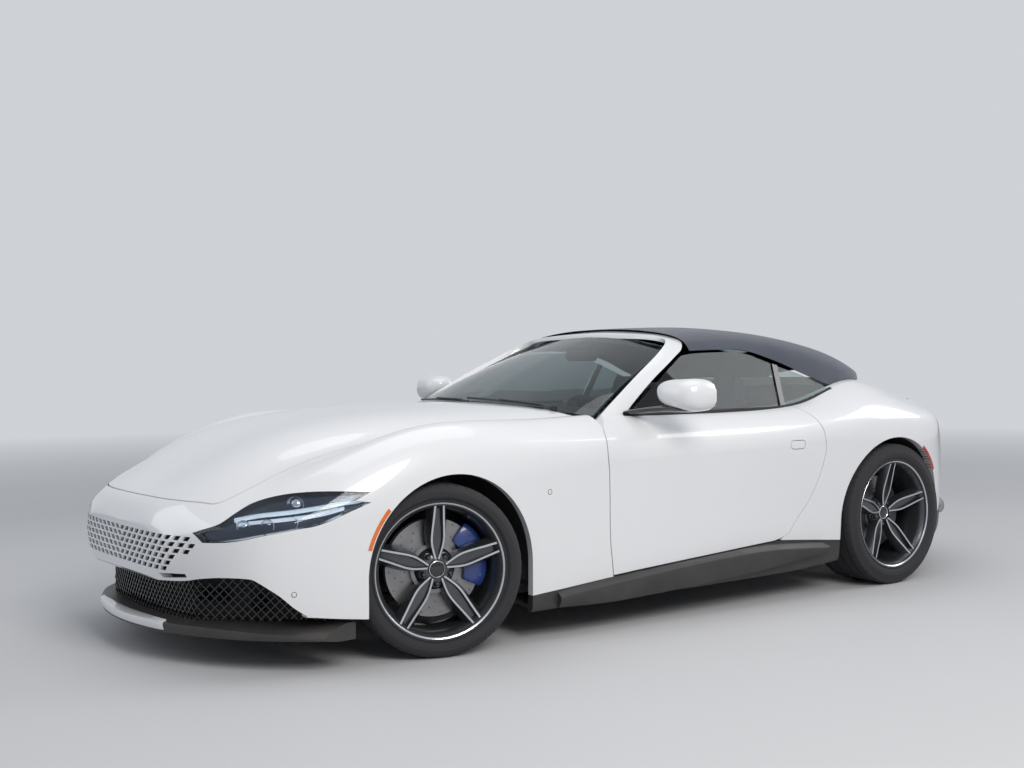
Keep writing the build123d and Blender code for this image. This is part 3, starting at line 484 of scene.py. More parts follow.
def skin_at(s, z, side=1):
    """Place and outward direction of the body's side at a height."""
    start = place(1500 * side, s, z)
    spot, normal, _, _ = Skin.tree.ray_cast(start, Vector((-side, 0, 0)))
    if spot is None:
        raise RuntimeError(f"no body at s {s}, z {z}")
    return spot, normal


SKIN_NEAR = 0.0012  # metres from the smooth body within which a face belongs to it
SKIN_ALIGNED = 0.86  # and how far it may lean from it, as a cosine


def true_normals(piece):
    """Gives the outer faces the smooth body's own normals, so that no cut shows in the gloss."""
    choose(piece)
    modifier = piece.modifiers.new("normals", "DATA_TRANSFER")
    modifier.object = Skin.outer
    modifier.use_loop_data = True
    modifier.data_types_loops = {"CUSTOM_NORMAL"}
    modifier.loop_mapping = "POLYINTERP_NEAREST"
    flat = [f.normal.copy() for f in piece.data.polygons]
    plain = [n.vector.copy() for n in piece.data.corner_normals]
    bpy.ops.object.modifier_apply(modifier=modifier.name)
    given = [n.vector.copy() for n in piece.data.corner_normals]
    chosen = [None] * len(plain)
    for face in piece.data.polygons:
        _, normal, _, distance = Skin.tree.find_nearest(face.center)
        on_skin = distance < SKIN_NEAR and normal.dot(flat[face.index]) > SKIN_ALIGNED
        for corner in face.loop_indices:
            chosen[corner] = given[corner] if on_skin else plain[corner]
    piece.data.normals_split_custom_set(chosen)
    return piece


def panel(name, keep, drop=(), hollow=True):
    """A body panel: the skin inside all of the kept blocks and outside the dropped ones."""
    piece = copy_of(Skin.outer, name)
    for tool in keep:
        boolean(piece, tool, "INTERSECT")
    if hollow:
        boolean(piece, Skin.inner, keep=True)
    for tool in drop:
        boolean(piece, tool)
    smooth(piece, 30)
    return true_normals(piece)


def plan_block(half, corners=(), grow=0.0, low=100, high=1400):
    """Block over a plan outline and its mirror image, grown sideways by the shut-line gap."""
    outline = curve_through(half, corners, closed=False)
    return block(whole(grown(outline, grow)), "z", low, high)


def grown(outline, distance):
    """The outline moved outwards by a distance, kept on the centre line at its ends."""
    if not distance:
        return outline
    middle = Vector((0, sum(p[1] for p in outline) / len(outline)))
    result = []
    for i, p in enumerate(outline):
        a, b = outline[max(i - 1, 0)], outline[min(i + 1, len(outline) - 1)]
        along = Vector((b[0] - a[0], b[1] - a[1])).normalized()
        out = Vector((along.y, -along.x))
        if out.dot(Vector(p) - middle) < 0:
            out = -out
        moved = Vector(p) + out * distance
        if abs(p[0]) < 1e-6:
            moved.x = 0
        result.append((moved.x, moved.y))
    return result


def door_block(grow):
    """Tapered block of the left door, or of its opening when grown by the gap."""
    outline = curve_through(DOOR, DOOR_CORNERS)
    front = len(outline) * DOOR_FRONT / len(DOOR)
    outer, inner = [], []
    for i, (s, z) in enumerate(outline):
        ahead = i < front
        s_grown = s - grow if ahead else s + grow
        z_grown = z - grow if z < 300 else z
        outer.append((1030, s_grown, z_grown))
        inner.append((730, s_grown - (0 if ahead else DOOR_TAPER), z_grown))
    return loft("door_block", [outer, inner])


TOOLS = {}


def kept(name, make):
    """A copy of a cutting tool that is made once."""
    if name not in TOOLS:
        TOOLS[name] = make()
    return copy_of(TOOLS[name], name)


def flipped(tool):
    """The same tool on the other side of the car."""
    tool.data.transform(Matrix.Scale(-1, 4, (1, 0, 0)))
    tool.data.flip_normals()
    return tool


def well_front():
    return kept("well_front", make_well_front)


def well_rear():
    return kept("well_rear", make_well_rear)


def make_well_front():
    tool = drum("well", 505, 905, 20, FRONT_WHEEL_R, 412)
    boolean(tool, drum("arch", 898, 1100, 25, 335, 380), "UNION", solver="EXACT")
    boolean(tool, block(((-392, 0), (432, 0), (432, FRONT_WHEEL_R), (-392, FRONT_WHEEL_R)), "x", 505, 903),
            "UNION", solver="EXACT")
    boolean(tool, block(((-355, 0), (405, 0), (405, 335), (-355, 335)), "x", 899, 1100), "UNION",
            solver="EXACT")
    return tool


def make_well_rear():
    tool = drum("well", 640, 1100, 2680, REAR_WHEEL_R, 388)
    low = block(((2292, 0), (3068, 0), (3068, REAR_WHEEL_R), (2292, REAR_WHEEL_R)), "x", 641, 1099)
    boolean(tool, low, "UNION", solver="EXACT")
    return tool


def both_sides(tool):
    return [tool, mirror_of(tool, "mirror")]


# ------------------------------------------------------------------ finishes
def node(tree, kind, x=0, **values):
    made = tree.nodes.new(kind)
    made.location = (x, -120 * len(tree.nodes))
    for key, value in values.items():
        if key in made.inputs:
            made.inputs[key].default_value = value
        else:
            setattr(made, key, value)
    return made


def link(tree, source, out, target, into):
    tree.links.new(source.outputs[out], target.inputs[into])


def group(name, inputs, outputs, build):
    """Shader node group with named sockets, made once. Inputs are name: (socket kind, value)."""
    if name in bpy.data.node_groups:
        return bpy.data.node_groups[name]
    tree = bpy.data.node_groups.new(name, "ShaderNodeTree")
    for label, (kind, value) in inputs.items():
        socket = tree.interface.new_socket(label, in_out="INPUT", socket_type=kind)
        if value is not None:
            socket.default_value = value
    for label, kind in outputs.items():
        tree.interface.new_socket(label, in_out="OUTPUT", socket_type=kind)
    start, end = tree.nodes.new("NodeGroupInput"), tree.nodes.new("NodeGroupOutput")
    build(tree, start, end)
    return tree


FLOAT, COLOUR, VECTOR = "NodeSocketFloat", "NodeSocketColor", "NodeSocketVector"


def build_variation(tree, start, end):
    """Slow blotches that shift colour and roughness a little, and fine grain for the bump."""
    slow = node(tree, "ShaderNodeTexNoise", Detail=3.0)
    link(tree, start, "Vector", slow, "Vector")
    link(tree, start, "Blotch Scale", slow, "Scale")
    mix = node(tree, "ShaderNodeMix", data_type="RGBA")
    spread = node(tree, "ShaderNodeMapRange", **{"From Min": 0.3, "From Max": 0.7})
    link(tree, slow, "Fac", spread, "Value")
    link(tree, spread, "Result", mix, "Factor")
    link(tree, start, "Colour A", mix, "A")
    link(tree, start, "Colour B", mix, "B")
    link(tree, mix, "Result", end, "Colour")
    rough = node(tree, "ShaderNodeMapRange", **{"From Min": 0.25, "From Max": 0.75})
    link(tree, slow, "Fac", rough, "Value")
    link(tree, start, "Rough Low", rough, "To Min")
    link(tree, start, "Rough High", rough, "To Max")
    link(tree, rough, "Result", end, "Roughness")
    fine = node(tree, "ShaderNodeTexNoise", Detail=4.0)
    link(tree, start, "Vector", fine, "Vector")
    link(tree, start, "Grain Scale", fine, "Scale")
    link(tree, fine, "Fac", end, "Height")


def variation():
    return group("colour_and_grain", {
        "Vector": (VECTOR, None), "Blotch Scale": (FLOAT, 6.0), "Grain Scale": (FLOAT, 400.0),
        "Colour A": (COLOUR, None), "Colour B": (COLOUR, None),
        "Rough Low": (FLOAT, 0.3), "Rough High": (FLOAT, 0.4),
    }, {"Colour": COLOUR, "Roughness": FLOAT, "Height": FLOAT}, build_variation)


def build_weave(tree, start, end):
    """Over-and-under threads from two crossed wave patterns."""
    heights = []
    for direction, phase in (("X", 0.0), ("Y", math.pi / 2)):
        wave = node(tree, "ShaderNodeTexWave", bands_direction=direction, Distortion=0.6)
        wave.inputs["Phase Offset"].default_value = phase
        wave.inputs["Detail"].default_value = 1.0
        link(tree, start, "Vector", wave, "Vector")
        link(tree, start, "Scale", wave, "Scale")
        heights.append(wave.outputs["Fac"])
    top = node(tree, "ShaderNodeMath", operation="MAXIMUM")
    tree.links.new(heights[0], top.inputs[0])
    tree.links.new(heights[1], top.inputs[1])
    link(tree, top, 0, end, "Height")
    dark = node(tree, "ShaderNodeMapRange",
                **{"From Min": 0.5, "From Max": 1.0, "To Min": 0.0, "To Max": 1.0})
    link(tree, top, 0, dark, "Value")
    link(tree, dark, "Result", end, "Thread")


def weave():
    return group("weave", {"Vector": (VECTOR, None), "Scale": (FLOAT, 300.0)},
                 {"Height": FLOAT, "Thread": FLOAT}, build_weave)


def build_dust(tree, start, end):
    """A thin film of dust that gathers near the ground."""
    split = node(tree, "ShaderNodeSeparateXYZ")
    link(tree, start, "Vector", split, 0)
    low = node(tree, "ShaderNodeMapRange", **{"From Min": 0.0, "To Min": 1.0, "To Max": 0.0})
    link(tree, split, "Z", low, "Value")
    link(tree, start, "Height", low, "From Max")
    spots = node(tree, "ShaderNodeTexNoise", Scale=9.0, Detail=6.0)
    link(tree, start, "Vector", spots, "Vector")
    both = node(tree, "ShaderNodeMath", operation="MULTIPLY")
    link(tree, low, "Result", both, 0)
    link(tree, spots, "Fac", both, 1)
    share = node(tree, "ShaderNodeMath", operation="MULTIPLY")
    link(tree, both, 0, share, 0)
    link(tree, start, "Amount", share, 1)
    mix = node(tree, "ShaderNodeMix", data_type="RGBA")
    link(tree, share, 0, mix, "Factor")
    link(tree, start, "Colour", mix, "A")
    mix.inputs["B"].default_value = (0.30, 0.27, 0.23, 1)
    link(tree, mix, "Result", end, "Colour")


def dust():
    return group("road_dust", {"Vector": (VECTOR, None), "Colour": (COLOUR, None), "Height": (FLOAT, 0.45),
                               "Amount": (FLOAT, 0.2)}, {"Colour": COLOUR}, build_dust)


def tinted(colour, factor):
    return (*[min(1.0, c * factor) for c in colour[:3]], 1.0)


def finish(name, colour, rough=0.4, spread=0.05, shift=0.94, blotch=4.0, grain=500.0, bump=0.1, depth=0.0004,
           dusty=0.0, pattern=None, **plain):
    """Procedural material on object coordinates.

    Roughness wanders by its spread, and colour towards a shade of itself (shift), in blotches.
    Grain is the scale of the fine relief, with its strength and depth. Dusty is how much dust lies
    low down. Plain values go straight onto the shader's sockets.
    """
    if name in bpy.data.materials:
        return bpy.data.materials[name]
    look = bpy.data.materials.new(name)
    look.use_nodes = True
    tree = look.node_tree
    shader = tree.nodes["Principled BSDF"]
    for key, value in plain.items():
        shader.inputs[key.replace("_", " ")].default_value = value
    where = node(tree, "ShaderNodeTexCoord", -900)
    mixed = node(tree, "ShaderNodeGroup", -600)
    mixed.node_tree = variation()
    for key, value in (("Blotch Scale", blotch), ("Grain Scale", grain), ("Colour A", tinted(colour, 1.0)),
                       ("Colour B", tinted(colour, shift)), ("Rough Low", max(0.0, rough - spread)),
                       ("Rough High", rough + spread)):
        mixed.inputs[key].default_value = value
    link(tree, where, "Object", mixed, "Vector")
    shown, height = mixed.outputs["Colour"], mixed.outputs["Height"]
    if pattern:
        shown, height = pattern(tree, where, shown, height)
    if dusty:
        film = node(tree, "ShaderNodeGroup", -400)
        film.node_tree = dust()
        film.inputs["Amount"].default_value = dusty
        link(tree, where, "Object", film, "Vector")
        tree.links.new(shown, film.inputs["Colour"])
        shown = film.outputs["Colour"]
    tree.links.new(shown, shader.inputs["Base Color"])
    link(tree, mixed, "Roughness", shader, "Roughness")
    if bump:
        relief = node(tree, "ShaderNodeBump", -200)
        relief.inputs["Strength"].default_value = bump
        relief.inputs["Distance"].default_value = depth
        tree.links.new(height, relief.inputs["Height"])
        link(tree, relief, "Normal", shader, "Normal")
    return look


def woven(scale, thread_dark):
    """Pattern of a cloth: threads darken the gaps between them and give the height."""
    def pattern(tree, where, shown, height):
        cloth = node(tree, "ShaderNodeGroup", -500)
        cloth.node_tree = weave()
        cloth.inputs["Scale"].default_value = scale
        link(tree, where, "Object", cloth, "Vector")
        mix = node(tree, "ShaderNodeMix", -300, data_type="RGBA", blend_type="MULTIPLY")
        mix.inputs["Factor"].default_value = 1.0
        gap = node(tree, "ShaderNodeMapRange", -400, **{"To Min": thread_dark, "To Max": 1.0})
        link(tree, cloth, "Thread", gap, "Value")
        tree.links.new(shown, mix.inputs["A"])
        link(tree, gap, "Result", mix, "B")
        return mix.outputs["Result"], cloth.outputs["Height"]
    return pattern


def hide_pattern(tree, where, shown, height):
    """Leather: fine closed cells for the height."""
    cells = node(tree, "ShaderNodeTexVoronoi", -500, Scale=420.0, feature="DISTANCE_TO_EDGE")
    link(tree, where, "Object", cells, "Vector")
    rise = node(tree, "ShaderNodeMapRange", -400, **{"From Max": 0.25})
    link(tree, cells, "Distance", rise, "Value")
    return shown, rise.outputs["Result"]


def see_through(name, tint, rough=0.0, ior=1.45):
    """Clear glass that lets the lamps through to what is behind it."""
    if name in bpy.data.materials:
        return bpy.data.materials[name]
    look = bpy.data.materials.new(name)
    look.use_nodes = True
    tree = look.node_tree
    shader = tree.nodes["Principled BSDF"]
    shader.inputs["Base Color"].default_value = (*tint, 1)
    shader.inputs["Roughness"].default_value = rough
    shader.inputs["IOR"].default_value = ior
    shader.inputs["Transmission Weight"].default_value = 1.0
    clear = node(tree, "ShaderNodeBsdfTransparent", -100)
    clear.inputs["Color"].default_value = (*[math.sqrt(t) for t in tint], 1)
    path = node(tree, "ShaderNodeLightPath", -300)
    mix = node(tree, "ShaderNodeMixShader", 100)
    link(tree, path, "Is Shadow Ray", mix, "Fac")
    link(tree, shader, 0, mix, 1)
    link(tree, clear, 0, mix, 2)
    link(tree, mix, 0, tree.nodes["Material Output"], "Surface")
    return look


def paint():
    return finish("white_paint", style().paint, 0.32, 0.03, 0.985, 3.0, 900, 0.03, 0.0002, 0.06,
                  Coat_Weight=1.0, Coat_Roughness=0.03, Specular_IOR_Level=0.5)


def black_trim():
    return finish("satin_black_trim", (0.018, 0.018, 0.02), 0.42, 0.06, 0.8, 5, 1400, 0.25, 0.0003, 0.22)


def gloss_black():
    return finish("gloss_black", (0.010, 0.010, 0.012), 0.12, 0.03, 0.8, 5, 900, 0.02, 0.0002,
                  Coat_Weight=0.6)


def cavity():
    return finish("cavity_black", (0.008, 0.008, 0.008), 0.7, 0.05, 0.8, 5, 700, 0.2, 0.0005)


def rubber():
    return finish("seal_rubber", (0.014, 0.014, 0.015), 0.6, 0.05, 0.85, 6, 900, 0.2, 0.0003)


def tyre_look():
    return finish("tyre_rubber", (0.022, 0.022, 0.023), 0.62, 0.08, 0.7, 9, 700, 0.35, 0.0005, 0.35)


def alloy_dark():
    return finish("dark_alloy", (0.075, 0.080, 0.088), 0.33, 0.05, 0.8, 8, 1200, 0.08, 0.0002, 0.08,
                  Metallic=0.75, Coat_Weight=0.5, Coat_Roughness=0.08)


def alloy_bright():
    return finish("machined_alloy", (0.62, 0.64, 0.67), 0.22, 0.05, 0.9, 8, 1200, 0.05, 0.0001, Metallic=1.0)


def disc_metal():
    return finish("brake_disc", (0.30, 0.30, 0.31), 0.34, 0.06, 0.8, 12, 900, 0.1, 0.0002, 0.1, Metallic=0.85)


def caliper_paint():
    return finish("blue_caliper", style().caliper, 0.3, 0.04, 0.85, 8, 900, 0.06, 0.0002, Coat_Weight=0.6)


def top_cloth():
    return finish("top_fabric", style().top, 0.82, 0.05, 0.9, 3, 700, 0.5, 0.0006,
                  pattern=woven(260.0, 0.72), Sheen_Weight=0.35, Sheen_Roughness=0.5)


# Inner face of the top: partly its own dark lining, partly painted shade under the top.
def headlining():
    return finish("headlining", (0.012, 0.013, 0.017), 0.95, 0.03, 0.8, 20, 900, 0.1, 0.0003,
                  Specular_IOR_Level=0.1)


def leather(name, colour, shift):
    return finish(name, colour, 0.6, 0.06, shift, 7, 700, 0.04, 0.0002, pattern=hide_pattern,
                  Specular_IOR_Level=0.25)


def leather_blue():
    return leather("blue_leather", style().leather, 0.85)


def leather_light():
    return leather("light_blue_leather", (0.20, 0.36, 0.52), 0.9)


def leather_black():
    return leather("black_leather", (0.018, 0.018, 0.020), 0.8)


def dash_skin():
    return finish("dash_skin", (0.020, 0.024, 0.034), 0.55, 0.06, 0.85, 7, 900, 0.3, 0.0004,
                  pattern=hide_pattern)


def carpet():
    return finish("carpet", (0.03, 0.034, 0.045), 0.95, 0.03, 0.6, 30, 1500, 0.9, 0.002, Sheen_Weight=0.2)


def cast_metal():
    return finish("cast_metal", (0.16, 0.165, 0.17), 0.5, 0.1, 0.75, 12, 500, 0.3, 0.0008, 0.3, Metallic=0.8)


def underbody():
    return finish("underbody_coat", (0.03, 0.03, 0.032), 0.7, 0.08, 0.7, 8, 300, 0.5, 0.001, 0.4)


def pipe_steel():
    return finish("polished_pipe", (0.55, 0.55, 0.56), 0.2, 0.06, 0.75, 12, 800, 0.05, 0.0002, Metallic=1.0)


def chrome():
    return finish("lamp_reflector", (0.75, 0.76, 0.78), 0.12, 0.04, 0.9, 20, 800, 0.03, 0.0001, Metallic=1.0)


def lamp_white():
    return finish("light_guide", (0.75, 0.78, 0.82), 0.25, 0.04, 0.92, 12, 800, 0.03, 0.0002,
                  Coat_Weight=0.4, Emission_Color=(0.8, 0.9, 1.0, 1), Emission_Strength=0.12)


def lamp_blue():
    return finish("lamp_housing", (0.008, 0.013, 0.028), 0.2, 0.05, 0.7, 10, 800, 0.05, 0.0002,
                  Coat_Weight=0.5)


def amber():
    return finish("amber_reflector", (0.75, 0.16, 0.01), 0.25, 0.04, 0.85, 30, 900, 0.3, 0.0008,
                  Coat_Weight=0.8)


def red_lens():
    return finish("red_lens", (0.42, 0.008, 0.012), 0.2, 0.04, 0.8, 30, 900, 0.3, 0.0008, Coat_Weight=0.8)


def window_glass():
    return see_through("window_glass", (0.30, 0.37, 0.38), ior=1.35)


def lens_glass():
    return see_through("lens_glass", (0.72, 0.78, 0.84), ior=1.3)


# ------------------------------------------------------------------ body panels
def bonnet_hole():
    return kept("bonnet_hole", lambda: lid_opening(BONNET, BONNET_CORNERS))


def lid_hole():
    return kept("lid_hole", lambda: lid_opening(LID, LID_CORNERS))


LID_FLOOR = 560  # bonnet and boot lid have nothing below this height


def lid_opening(outline, corners):
    """Tool for the hole under a lid; it ends a little below the panels' inner face."""
    tool = plan_block(outline, corners, style().gap, LID_FLOOR)
    return boolean(tool, moved(copy_of(Skin.inner, "lower"), (0, 0, -0.008)))


def top_recess():
    outline = TOP_FOOT + ((705, 2000), (0, 2000))
    return plan_block(outline, (0, 8, 9), 0, 820, 1500)


def lamp_block(grow=0.0):
    outline = curve_through(HEADLAMP, HEADLAMP_CORNERS)
    if grow:
        middle = Vector((-620, 600))
        outline = [tuple(Vector(p) + (Vector(p) - middle).normalized() * grow) for p in outline]
    return block(outline, "x", 540, 1100)


def make_bonnet():
    piece = panel("bonnet_skin", [plan_block(BONNET, BONNET_CORNERS, low=LID_FLOOR)])
    ready(piece, "paint_white", paint(), body="bonnet_panel", replaces=("bonnet",))


def make_boot_lid():
    piece = panel("boot_lid_skin", [plan_block(LID, LID_CORNERS, low=LID_FLOOR)])
    ready(piece, "paint_white", paint(), body="boot_panel", replaces=("boot_lid",))


HANDLE = dict(front=1953, rear=2049, low=712, high=756, line=3.5, depth=7)


def rounded_box(s0, s1, z0, z1, radius, steps=5):
    points = []
    for (s, z), start in (((s1 - radius, z1 - radius), 0), ((s0 + radius, z1 - radius), 90),
                          ((s0 + radius, z0 + radius), 180), ((s1 - radius, z0 + radius), 270)):
        for k in range(steps + 1):
            a = math.radians(start + 90 * k / steps)
            points.append((s + radius * math.cos(a), z + radius * math.sin(a)))
    return points


def handle_groove():
    h = HANDLE
    spot, _ = skin_at((h["front"] + h["rear"]) / 2, (h["low"] + h["high"]) / 2)
    face = spot.x * 1000
    outer = rounded_box(h["front"], h["rear"], h["low"], h["high"], 18)
    line = h["line"]
    inner = rounded_box(h["front"] + line, h["rear"] - line, h["low"] + line, h["high"] - line, 15)
    ring = block(outer, "x", face - h["depth"] - 3, face + 60)
    return boolean(ring, block(inner, "x", face - 60, face + 90), solver="EXACT")


def make_doors():
    outside = block(((700, 150), (2400, 150), (2400, 960), (700, 960)), "x", 772, 1100)
    left = panel("door_skin_left", [door_block(0), outside], [handle_groove()], hollow=False)
    ready(left, "paint_white", paint(), body="front_door_left", replaces=("door_left",))
    right = mirror_of(left, "door_skin_right")
    ready(right, "paint_white", paint(), body="front_door_right", replaces=("door_right",))
    for side, body in ((1, "front_door_left"), (-1, "front_door_right")):
        door_card(side, body)


def door_card(side, body):
    """Trim on the inner face of the door: upholstered panel and arm rest."""
    base = [(900, 330), (900, 780), (960, 858), (1900, 868), (1960, 800), (1900, 470), (1700, 380)]
    card = block(curve_through(base, (0, 3), per=5), "x", 752, 774, "door_card")
    apply(card, "BEVEL", width=0.006, segments=3, limit_method="ANGLE")
    rest = loft("arm_rest", stations([
        [(770, 1130, 560), (770, 1130, 625), (740, 1130, 620), (740, 1130, 580)],
        [(770, 1300, 545), (770, 1300, 640), (700, 1300, 636), (706, 1300, 570)],
        [(770, 1650, 535), (770, 1650, 640), (694, 1650, 636), (700, 1650, 560)],
        [(770, 1820, 560), (770, 1820, 620), (735, 1820, 612), (735, 1820, 580)]], 5))
    bevelled(rest, 0.01)
    suffix = "left" if side > 0 else "right"
    parts = [card, rest]
    if side < 0:
        parts = [mirror_of(card, "card"), mirror_of(rest, "rest")]
        discard(card, rest)
    trim = smooth(joined(f"door_trim_{suffix}", *parts), 40)
    ready(trim, "trim_blue", leather_blue(), body=body)


def cowl_block():
    return block(whole_through(COWL, COWL_CORNERS), "z", 700, 1000)


def make_fenders():
    zone = [(NOSE_SEAM, 1150), (850, 1150), (850, 226), (600, 208), (396, 196), (200, 300), (-180, 560),
            (-255, 657), (NOSE_SEAM, 657)]
    left = panel("fender_skin_left", [block(zone, "x", 528, 1150)],
                 [well_front(), bonnet_hole(), door_block(style().gap), lamp_block(2), cowl_block()])
    pair(left, "paint_white", [paint()], ("fenders",))


def make_quarters():
    zone = [(1900, 286), (1900, 1200), (3320, 1200), (3320, 690), (3060, 600), (3060, 180), (2300, 180),
            (2300, 254), (2100, 270)]
    left = panel("quarter_skin_left", [block(zone, "x", 690, 1150)],
                 [well_rear(), door_block(style().gap), top_recess(), lid_hole()])
    pair(left, "paint_white", [paint()], ("quarter_panels",))


SILL_EDGE = ((540, 196, 958, 128), (700, 212, 962, 122), (900, 228, 962, 120), (1370, 262, 968, 138),
             (1750, 276, 980, 165), (2000, 266, 990, 190), (2165, 256, 992, 200))


def make_sills():
    """Black sill with a blade that stands out further towards the rear wheel."""
    rows = []
    for s, z, x, low in SILL_EDGE:
        base = skin_at(s, z)[0].x * 1000
        rows.append([(base - 40, s, z), (base - 1, s, z), (x - 4, s, z - 16), (x, s, z - 24),
                     (x - 3, s, low + 26), (x - 16, s, low + 4), (x - 90, s, low - 6), (base - 40, s, low)])
    blade = loft("sill_blade_left", stations(rows, 6))
    boolean(blade, door_block(style().gap))
    boolean(blade, well_front())
    boolean(blade, well_rear())
    step = panel("sill_step", [block(((396, 100),) + SILL_TOP + ((2300, 100),), "x", 700, 1150)],
                 [well_front(), well_rear(), door_block(style().gap)])
    pair(smooth(joined("sill_blade_left", blade, step), 40), "black_trim", [black_trim()], ("sills",))


def pair(piece, slot, looks, replaces=(), name=None):
    """Both sides of the car as one piece."""
    twin = mirror_of(piece, "twin")
    both = joined(name or piece.name.replace("_left", "s"), piece, twin)
    return ready(both, slot, *looks, replaces=replaces)


LAMP_LINES = ((798, 814), (824, 838))


def tail_lamp_block(low, high):
    return block(((318, low), (690, low - 4), (690, high - 4), (330, high)), "s", 3200, 3800)


PIPES = ((455, 3620), (565, 3585))  # x and rear end of each tail pipe on the left
PIPE_Z = 296
PIPE_R = 44
PIPE_HOLE_R = 50


def make_rear():
    zone = [(3320, 1150), (3760, 1150), (3760, 100), (3060, 100), (3060, 600), (3320, 690)]
    plate = block(whole([(0, 560), (268, 560), (288, 690), (0, 690)]), "s", 3636, 3800)
    pipes = [drum_along("hole", side * x, 3300, 3900, PIPE_Z, PIPE_HOLE_R)
             for x, _ in PIPES for side in (1, -1)]
    lamps = [tail_lamp_block(*line) for line in LAMP_LINES]
    drops = [lid_hole(), well_rear(), flipped(well_rear()), plate] + pipes + lower_rear()
    for lamp in lamps:
        drops += both_sides(lamp)
    bumper = panel("rear_bumper_skin", [block(zone, "x", -1150, 1150)], drops)
    ready(bumper, "paint_white", paint(), replaces=("rear_bumper",))
    lights = [panel("lamp", [tail_lamp_block(*line)], []) for line in LAMP_LINES]
    light = joined("tail_lamp_left", *lights)
    pair(light, "red_lens", [red_lens()], ("tail_lamps",), "tail_lamp_lenses")
    recess = block(whole([(0, 552), (276, 552), (297, 698), (0, 698)]), "s", 3640, 3655, "plate_recess")
    screws = [drum_along("screw", side * 90, 3640, 3658, 640, 5, 20) for side in (1, -1)]
    bevelled(recess, 0.003, 2)
    ready(smooth(joined("plate_recess", recess, *screws), 40), "black_trim", black_trim())
    deck = panel("tonneau_skin",
                 [block(whole([(0, 2450), (700, 2450), (700, 3320), (0, 3320)]), "z", 700, 1200)],
                 [top_recess(), lid_hole()])
    ready(deck, "paint_white", paint(), replaces=("tonneau_deck",))


def drum_along(name, x, s0, s1, z, radius, steps=64):
    """Cylinder along the car."""
    bpy.ops.mesh.primitive_cylinder_add(vertices=steps, radius=radius / 1000, depth=(s1 - s0) / 1000,
                                        location=place(x, (s0 + s1) / 2, z),
                                        rotation=(math.radians(90), 0, 0))
    bpy.context.object.name = name
    return settle(bpy.context.object)


DIFFUSER_TOP = ((0, 328), (300, 328), (430, 395), (560, 470), (900, 492), (900, 90), (0, 90))
DIFFUSER_SIDE = ((3060, 90), (3060, 318), (3170, 338), (3290, 392), (3391, 480), (3391, 90))


def lower_rear():
    """Blocks that hold the black lower part of the rear."""
    side = block(DIFFUSER_SIDE, "x", 560, 1100)
    return [block(whole(DIFFUSER_TOP), "s", 3391, 3800), *both_sides(side)]


def make_diffuser():
    holes = [drum_along("hole", side * x, 3300, 3900, PIPE_Z, PIPE_HOLE_R)
             for x, _ in PIPES for side in (1, -1)]
    tray = block(whole([(0, 262), (560, 262), (560, 340), (0, 340)]), "s", 3000, 3480)
    areas = [panel("base", [area], [copy_of(tray, "tray"), well_rear(), flipped(well_rear())] +
                   [copy_of(hole, "hole") for hole in holes]) for area in lower_rear()]
    discard(tray, *holes)
    base = joined("base", *areas)
    fins = []
    for x in (-330, -200, -70, 70, 200, 330):
        fin = block(((3300, 262), (3640, 300), (3655, 250), (3560, 190), (3330, 215)), "x", x - 5, x + 5,
                    "fin")
        fins.append(fin)
    whole_part = smooth(joined("diffuser_fins", base, *fins), 35)
    ready(whole_part, "black_trim", black_trim(), replaces=("diffuser",))


def make_pipes():
    tubes = []
    for x, end in PIPES:
        for side in (1, -1):
            tube = turned("pipe", [(-110, PIPE_R), (-4, PIPE_R), (0, PIPE_R - 2), (0, 39.5), (-4, 38.5),
                                   (-110, 38.5)], 64)
            tubes.append(moved(tube, place(side * x, end, PIPE_Z), 90))
    ready(smooth(joined("exhaust_tips", *tubes), 40), "pipe_steel", pipe_steel())


# ------------------------------------------------------------------ nose
NOSE_AHEAD = -1100  # a place in front of the whole car, where blocks that cut the nose start
NOSE_BEHIND = -700


def mouth_block():
    """Opening of the lower mouth, carried down through the edge under it."""
    outline = curve_through(MOUTH, MOUTH_CORNERS, closed=False)
    return block(whole([(x, z if z > MOUTH[1][1] else 90) for x, z in outline]), "s", NOSE_AHEAD, -580)


def grille_block():
    return block(whole_through(GRILLE, GRILLE_CORNERS), "s", NOSE_AHEAD, NOSE_BEHIND)


def make_nose():
    zone = [(-1010, 100), (-1010, 700), (NOSE_SEAM, 900), (NOSE_SEAM, 657), (-255, 657), (-180, 560),
            (-180, 188), (-363, 194), (-465, 205), (-571, 218), (-600, 218), (-600, 100)]
    drops = [bonnet_hole(), well_front(), flipped(well_front()), grille_block(), mouth_block(),
             block(CHIN_SLOT, "s", NOSE_AHEAD, NOSE_BEHIND)]
    drops += both_sides(lamp_block(2))
    drops += [drum_along("sensor", side * 520, -1000, NOSE_BEHIND, 262, 9, 32) for side in (1, -1)]
    bumper = panel("front_bumper_skin", [block(zone, "x", -1150, 1150)], drops)
    ready(bumper, "paint_white", paint(), replaces=("front_bumper",))


GRILLE_ROWS = 6
GRILLE_PITCH = (52, 24)  # across and up
GRILLE_CELL = (34, 17)


def grille_layer(name, face, back):
    """Sheet that follows the nose inside the grille's outline, between two depths."""
    piece = moved(copy_of(Skin.outer, name), (0, face, 0))
    boolean(piece, grille_block(), "INTERSECT")
    boolean(piece, moved(copy_of(Skin.outer, "behind"), (0, back, 0)))
    boolean(piece, block(((-640, 300), (640, 300), (640, 600), (-640, 600)), "s", -1100, -740), "INTERSECT")
    return piece


